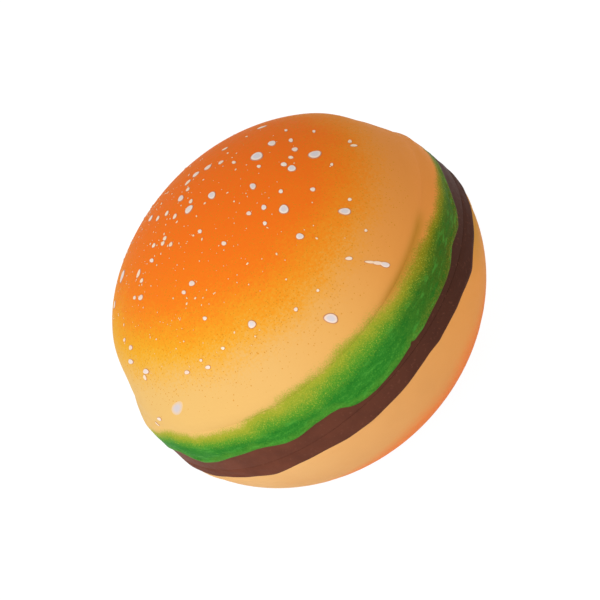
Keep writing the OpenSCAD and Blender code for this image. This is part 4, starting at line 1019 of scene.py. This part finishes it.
def metal(name, code, shade, roughness, pitch, depth, stretch=(1, 1, 1)):
    """A metal: two shades in streaks `pitch` mm apart, drawn out by `stretch`, with the same
    streaks in the gloss and, `depth` mm high, in the bump."""
    material, tree, shader, place = new_material(name)
    drawn = node(tree, "Mapping", {"Vector": place, "Scale": stretch})
    streak = node(tree, "TexNoise", {"Vector": drawn.outputs[0], "Scale": 1 / (pitch * MM),
                                     "Detail": 3.0})
    cloud = node(tree, "TexNoise", {"Vector": place, "Scale": 1 / (6 * MM), "Detail": 3.0})
    both = node(tree, "Math", {0: streak.outputs["Fac"], 1: cloud.outputs["Fac"]})
    share = node(tree, "MapRange", {0: both.outputs[0], 1: 0.75, 2: 1.25}).outputs[0]
    tree.links.new(coats(tree, paint(code), [(share, shade)]), shader.inputs["Base Color"])
    gloss = node(tree, "MapRange", {0: share, 3: roughness - 0.07, 4: roughness + 0.1})
    tree.links.new(gloss.outputs[0], shader.inputs["Roughness"])
    bump = node(tree, "Bump", {"Height": streak.outputs["Fac"], "Distance": depth * MM})
    tree.links.new(bump.outputs[0], shader.inputs["Normal"])
    shader.inputs["Metallic"].default_value = 1.0
    return material


# zinc plate: bright, bluish and finely scratched
zinc = metal("steel_zinc_plated", "#C9CBCE", "#B2B6BC", 0.3, 0.3, 0.004)
screw_place = 36.77
head_r, head_seat_z, head_z = 2.9, 52.2, 51.2
shank_r, shank_top_z = 1.4, 63.2
thread_pitch, thread_depth, ridges = 0.8, 0.25, 13
recess_w, recess_l, recess_d = 0.75, 3.5, 0.8


def turned(profile, sides):
    """Points of a turned shape: each (radius, height) of the profile carried round z."""
    a = np.arange(sides)[:, None] * 2 * np.pi / sides
    r, h = np.array(profile, float).T
    return np.stack([r * np.cos(a), r * np.sin(a), h + 0 * a], -1)


# a pan head, made in millimetres with its crown upwards and its seat at height 0
thread = [(shank_r - thread_depth * (k % 2), -0.6 - thread_pitch / 2 * k)
          for k in range(2 * ridges)]
head_h = head_seat_z - head_z
tip_z = head_seat_z - shank_top_z
profile = ([(0, tip_z), (0.7, tip_z)] + thread[::-1]
           + [(shank_r, 0), (head_r, 0), (head_r, 0.35), (2.7, 0.72), (2.2, 0.93),
              (1.2, head_h), (0, head_h)])
recesses = []
for wide, deep in ((recess_w, recess_l), (recess_l, recess_w)):
    x, y = np.array([-1, 1, 1, -1]) * wide / 2, np.array([-1, -1, 1, 1]) * deep / 2
    # (share of the width, height): a point below, a slanting side, and shut above the head
    levels = [(0, head_h - recess_d), (0.6, head_h - recess_d), (1, head_h + 0.2),
              (0, head_h + 0.2)]
    arm = np.array([np.column_stack([x * share, y * share, np.full(4, level)])
                    for share, level in levels])
    recesses.append(grid_mesh("recess", arm.transpose(1, 0, 2), True, False))
screw = carved(grid_mesh("screw", turned(profile, 32), True, False), recesses)
shape = points_of(screw)
faces = [list(polygon.vertices) for polygon in screw.polygons]
places, all_faces = [], []
for k, (x, y) in enumerate([(-1, -1), (1, -1), (1, 1), (-1, 1)]):
    angle = 0.4 + 0.9 * k            # each was driven to its own stop
    c, s = math.cos(angle), math.sin(angle)
    places.append(np.column_stack([shape[:, 0] * c - shape[:, 1] * s + x * screw_place,
                                   -(shape[:, 0] * s + shape[:, 1] * c) + y * screw_place,
                                   head_seat_z - shape[:, 2]]) * MM)
    all_faces += [[v + k * len(shape) for v in face] for face in faces]
mesh = bpy.data.meshes.new("lid_screws")
mesh.from_pydata(np.concatenate(places).tolist(), [], all_faces)
mesh.polygons.foreach_set("use_smooth", [True] * len(mesh.polygons))
mesh.set_sharp_from_angle(angle=math.radians(35))
screws = piece("cross_head_screws", mesh, zinc, "lid")
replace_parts(screws, "lid_screws")


# ---- Keypad deck --------------------------------------------------------------------
# Brown ABS deck dropped into the patty, with windows for the keys, the microphone's holes
# and the hook button. A slightly coarser grain hides finger marks.
wear("keypad_deck", moulded("deck_brown_abs_grained", "#6B3F33", "#62382D", 0.6, 0.05, 0.5))


# ---- Keys ---------------------------------------------------------------------------
# Stadium-shaped ABS caps with a shallow dish, moulded in ivory, each on a stem over the mat.
# The figures are pad-printed in brown ink. Flanges under the deck keep the caps in.

# polished ABS: warm, smooth and the glossiest plastic on the burger
ivory = moulded("ivory_abs_polished", "#F5ECD6", "#F0E4C6", 0.9, 0.006, 0.24)
# pad-printing ink: a thin satin film
ink = moulded("brown_pad_print_ink", "#4A2A20", "#3F231B", 0.3, 0.01, 0.45)
key_size, extra_size = (15.0, 11.0), (13.0, 7.0)
pitch_x, pitch_y, top_row_y = 21.0, 15.0, 26.0
extra_pitch, extra_y = 19.0, -36.0
key_top_z, flange_top_z, flange_low_z, stem_z = 49.8, 43.8, 42.8, 42.2
flange, stem_r, dish_depth = 1.2, 3.0, 0.32
ink_proud, ink_sunk = 0.05, 0.12


def dished(x, y, size):
    """Height of a key's top: 0.32 mm lower in the middle, rising with the square of the
    distance, measured in half-sizes, to the rim."""
    far = (x / (size[0] / 2 - 0.9)) ** 2 + (y / (size[1] / 2 - 0.9)) ** 2
    return key_top_z - dish_depth * (1 - np.minimum(far, 1))


def key_cap(size):
    """Points of a key about its own centre: stadium rings from the stem up to the dish."""
    half, end = (size[0] - size[1]) / 2, size[1] / 2
    sides = 72
    turn = (np.arange(sides) + 0.5) * 2 * np.pi / sides
    # (share of the straight half, radius, height) of each ring
    rings = [(0, 0, stem_z), (0, stem_r - 0.2, stem_z), (0, stem_r, stem_z + 0.2),
             (0, stem_r, flange_low_z), (1, end + flange - 0.1, flange_low_z),
             (1, end + flange, flange_low_z + 0.1), (1, end + flange, flange_top_z - 0.1),
             (1, end + flange - 0.1, flange_top_z), (1, end, flange_top_z),
             (1, end - 0.02, 46.5), (1, end - 0.1, 48.7), (1, end - 0.22, 49.2),
             (1, end - 0.42, 49.5), (1, end - 0.68, 49.7), (1, end - 0.95, 49.79)]
    rings += [(s, (end - 0.95) * s, None) for s in (0.92, 0.8, 0.65, 0.5, 0.35, 0.18, 0)]
    rows = []
    for share, radius, level in rings:
        x = np.sign(np.cos(turn)) * half * share + radius * np.cos(turn)
        y = radius * np.sin(turn)
        rows.append(np.column_stack([x, y, dished(x, y, size) if level is None
                                     else np.full(len(turn), level)]))
    return np.array(rows).transpose(1, 0, 2)


def lettering(words, height):
    """Flat letters `height` mm tall, centred, as a mesh in millimetres 1 unit thick."""
    curve = bpy.data.curves.new("letters", "FONT")
    curve.body, curve.align_x, curve.align_y = words, "CENTER", "CENTER"
    curve.size, curve.extrude, curve.resolution_u = height / 0.7, 0.5, 5
    holder = bpy.data.objects.new("letters", curve)
    scene.collection.objects.link(holder)
    graph = bpy.context.evaluated_depsgraph_get()
    mesh = bpy.data.meshes.new_from_object(holder.evaluated_get(graph))
    bpy.data.objects.remove(holder)
    spots = points_of(mesh)
    middle = (spots.min(0) + spots.max(0)) / 2
    spots[:, :2] -= middle[:2]
    return mesh, spots


figure_h, star_h, word_h = 5.2, 8.0, 1.7
legends = [(figure, figure, figure_h) for figure in "123456789"]
legends += [("star", "*", star_h), ("0", "0", figure_h), ("hash", "#", figure_h)]
extra_legends = [(word, word.upper(), word_h) for word in ("redial", "flash", "mute")]
key_plan = [(*legend, key_size, ((i % 3 - 1) * pitch_x, top_row_y - i // 3 * pitch_y))
            for i, legend in enumerate(legends)]
key_plan += [(*legend, extra_size, ((i - 1) * extra_pitch, extra_y))
             for i, legend in enumerate(extra_legends)]
for name, legend, legend_h, size, spot in key_plan:
    cap = grid_mesh("key_" + name, key_cap(size), True, False, merge=1e-5)
    letters, spots = lettering(legend, legend_h)
    level = dished(spots[:, 0], spots[:, 1], size)
    spots[:, 2] = np.where(spots[:, 2] > 0, level + ink_proud, level - ink_sunk)
    letters.vertices.foreach_set("co", spots.astype(np.float32).ravel())
    joined = bmesh.new()
    joined.from_mesh(cap)
    ivory_faces = len(joined.faces)
    joined.from_mesh(letters)
    joined.faces.ensure_lookup_table()
    for face in joined.faces[ivory_faces:]:
        face.material_index = 1
    joined.to_mesh(cap)
    joined.free()
    cap.transform(Matrix.Translation((spot[0], spot[1], 0)))
    cap.transform(Matrix.Scale(MM, 4))
    cap.set_sharp_from_angle(angle=math.radians(55))
    key = piece("key_cap_" + name, cap, ivory, "key_" + name)
    cap.materials.append(ink)
    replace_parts(key, "key_" + name)


# ---- Key mat, circuit board and its parts -------------------------------------------
# A translucent grey silicone mat presses carbon pills onto a paper-laminate board. Chips
# are epoxy blocks, the transformer is taped, the capacitors wear shrunk sleeves.

# silicone rubber: light sinks a little way in, so its edges look soft
silicone = moulded("silicone_grey_translucent", "#C9CEC9", "#BCC3BE", 0.8, 0.02, 0.45, 0.35)
shader = silicone.node_tree.nodes["Principled BSDF"]
shader.inputs["Subsurface Weight"].default_value = 0.25
shader.inputs["Subsurface Scale"].default_value = 0.002
mat_top_z, dome_h, wall_t = 39.65, 2.5, 1.0
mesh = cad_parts["key_mat"].data.copy()
mesh.name = "key_mat_sheet"
shape = bmesh.new()
shape.from_mesh(mesh)
bmesh.ops.remove_doubles(shape, verts=shape.verts, dist=1e-6)
shape.to_mesh(mesh)
shape.free()
# the domes are pressed level with the sheet, and made again one by one on top of it
spots = points_of(mesh) / MM
dome_skin, dome_ceiling, sheet_t = mat_top_z + dome_h - 0.1, mat_top_z + 0.1, 0.3
level = spots[:, 2]
spots[:, 2] = np.where(level > dome_skin, mat_top_z,
                       np.where(level > dome_ceiling, mat_top_z - sheet_t, level))
mesh.vertices.foreach_set("co", (spots * MM).astype(np.float32).ravel())
mesh.materials.clear()
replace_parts(piece("key_mat_sheet", mesh, silicone, "base"), "key_mat")
# hollow dome: (radius, height over the sheet) from the inside round to the crown
dome = [(0, dome_h - wall_t), (2.3, dome_h - wall_t), (2.6, dome_h - wall_t - 0.2),
        (3.3, 0.2), (3.4, -0.1), (5.2, -0.1), (5, 0.05), (4.75, 0.3), (3.7, dome_h - 0.45),
        (3.5, dome_h - 0.12), (3.25, dome_h), (0, dome_h)]
for name, _, _, _, spot in key_plan:
    mesh = grid_mesh("dome", (turned(dome, 40) + np.array([*spot, mat_top_z])) * MM, True, False)
    mesh.set_sharp_from_angle(angle=math.radians(50))
    cup = piece("mat_dome_" + name, mesh, silicone, "base")
    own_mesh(cup)

# resin-bonded paper: dull tan with a fibrous grain, under glossier lanes of green lacquer
board, tree, shader, place = new_material("paper_laminate_board")
drawn = node(tree, "Mapping", {"Vector": place, "Scale": (1.0, 6.0, 1.0)})
fibre = node(tree, "TexNoise", {"Vector": drawn.outputs[0], "Scale": 1 / (1.6 * MM),
                                "Detail": 4.0}).outputs["Fac"]
share = node(tree, "MapRange", {0: fibre, 1: 0.35, 2: 0.65}).outputs[0]
# the wave pattern repeats every turn / (20 * scale)
lane_pitch = 10.028
lanes = node(tree, "TexWave", {"Vector": place, "Scale": math.tau / 20 / (lane_pitch * MM),
                               "Distortion": 3.0, "Detail": 1.0}).outputs["Fac"]
lane = node(tree, "MapRange", {0: lanes, 1: 0.72, 2: 0.78, 3: 0.0, 4: 0.7}).outputs[0]
coat = coats(tree, paint("#B08A4A"), [(share, "#96713A"), (lane, "#5E7A3A")])
tree.links.new(coat, shader.inputs["Base Color"])
gloss = node(tree, "MapRange", {0: lane, 3: 0.5, 4: 0.28}).outputs[0]
tree.links.new(gloss, shader.inputs["Roughness"])
wear("circuit_board", board)

# filled epoxy: near black and dull, with a fine sandy tooth
epoxy = moulded("black_epoxy_moulding", "#1E1E20", "#262628", 0.25, 0.02, 0.55)
for name in ("dialler_chip", "speech_chip", "diodes"):
    wear(name, epoxy)
# polyester tape and shrunk sleeves: smooth, glossy, pulled into slow waves
wear("line_transformer", moulded("polyester_winding_tape", "#D9B13A", "#CBA02F", 2.5, 0.06, 0.3))
wear("capacitors", moulded("shrunk_pvc_sleeve", "#1F2F66", "#1A2858", 3.0, 0.03, 0.25))
# drawn nickel: a warm grey shine with streaks along the draw
wear("crystal", metal("crystal_can_nickel", "#B9B4A8", "#A59F92", 0.28, 0.4, 0.004, (1, 5, 1)))
for name in ("board_screws", "base_screws", "receiver_screws"):
    wear(name, zinc)


# ---- Receiver -----------------------------------------------------------------------
# A small moving-coil receiver: pressed steel basket and clips, plated magnet, and a cone
# of pressed black paper, whose fibres show as a matt felted surface.

# rolled sheet: long soft streaks; the magnet's plating is finer and brighter
pressed = metal("pressed_steel_sheet", "#B4B4B4", "#9C9C9E", 0.36, 0.5, 0.006, (1, 8, 1))
wear("receiver_basket", pressed)
wear("receiver_clips", pressed)
plated = metal("plated_magnet_steel", "#BDBEC2", "#A6A8AE", 0.25, 0.25, 0.003, (1, 1, 12))
wear("receiver_magnet", plated)
wear("receiver_cone", moulded("pressed_black_paper", "#232326", "#2E2E31", 0.35, 0.12, 0.85, 0.2))


# ---- Microphone, ringer and hook switch ---------------------------------------------
# Electret capsule in a rubber boot; a brass piezo disc in a black housing; a sprung cream
# plunger that the lid holds down on a microswitch. A steel plate adds weight.
wear("microphone", plated)
# moulded rubber: charcoal and almost without gloss
rubber = moulded("black_rubber_moulded", "#202020", "#2A2A2A", 0.5, 0.04, 0.7, 0.3)
wear("microphone_boot", rubber)
# black ABS: a satin case with a light tooth
black_case = moulded("black_abs_housing", "#222224", "#1B1B1D", 0.4, 0.03, 0.42)
wear("ringer_housing", black_case)
# rolled brass: yellow, bright, streaked one way
brass = metal("rolled_brass", "#D8B25A", "#C59C45", 0.28, 0.3, 0.003, (1, 10, 1))
wear("ringer_disc", brass)
wear("hook_switch", black_case)
wear("hook_plunger", cream)
# drawn wire is bright; mill-finish steel is dark, dull and blotched
wear("hook_spring", metal("spring_steel_drawn", "#A9AAAC", "#8E8F93", 0.3, 0.15, 0.002))
wear("ballast_plate", metal("ballast_steel_mill_finish", "#75777A", "#5C5D60", 0.5, 0.8, 0.02,
                            (1, 4, 1)))


# ---- Hinge and leads ----------------------------------------------------------------
# A plain steel pin on the left and a hollow brass bush on the right, through which the
# lid's grey lead passes. Inner wires are red PVC, smooth and slightly glossy.
wear("hinge_pin", zinc)
wear("hinge_bush", brass)
# soft PVC: smooth, the grey a little duller than the red
grey_pvc = moulded("grey_pvc_lead", "#7C7D80", "#727376", 1.2, 0.02, 0.42)
wear("lid_lead", grey_pvc)
wear("base_lead", grey_pvc)
red_pvc = moulded("red_pvc_wire", "#A3241B", "#931F18", 1.0, 0.01, 0.35)
for name in ("line_wires", "ringer_wires", "microphone_wires"):
    wear(name, red_pvc)


# ---- Line socket, switches, bumpers and feet ----------------------------------------
# A clip-in modular socket in off-white nylon with brass contacts; two slide switches with
# cream knobs; rubber bumpers and feet pressed into their seats.

# nylon: off-white, waxy and slightly glossy
wear("line_socket", moulded("socket_nylon", "#E9E4D3", "#DFD9C5", 0.5, 0.02, 0.35))
wear("socket_contacts", brass)
for name in ("ringer_switch", "tone_switch"):
    wear(name, black_case)
for name in ("ringer_slider", "tone_slider"):
    wear(name, cream)
wear("lid_bumpers", rubber)
wear("rubber_feet", rubber)

# marks beside the switches, 0.2 mm proud of the underside, to be read from below
underside_z, mark_proud, mark_sunk = 1.6, 0.2, 0.1
mark_h, mark_y = 1.5, 21.8
# (words, x of their middle)
MARKS = [("OFF", -13.4), ("LO", -9), ("HI", -5.2), ("TONE", 12.9), ("PULSE", 5.3)]
places, faces, count = [], [], 0
for words, x in MARKS:
    letters, spots = lettering(words, mark_h)
    side = np.where(spots[:, 2] > 0, underside_z - mark_proud, underside_z + mark_sunk)
    places.append(np.column_stack([x - spots[:, 0], mark_y + spots[:, 1], side]))
    faces += [[v + count for v in polygon.vertices] for polygon in letters.polygons]
    count += len(spots)
mesh = bpy.data.meshes.new("switch_marks")
mesh.from_pydata((np.concatenate(places) * MM).tolist(), [], faces)
piece("switch_marks", mesh, ink, "base")
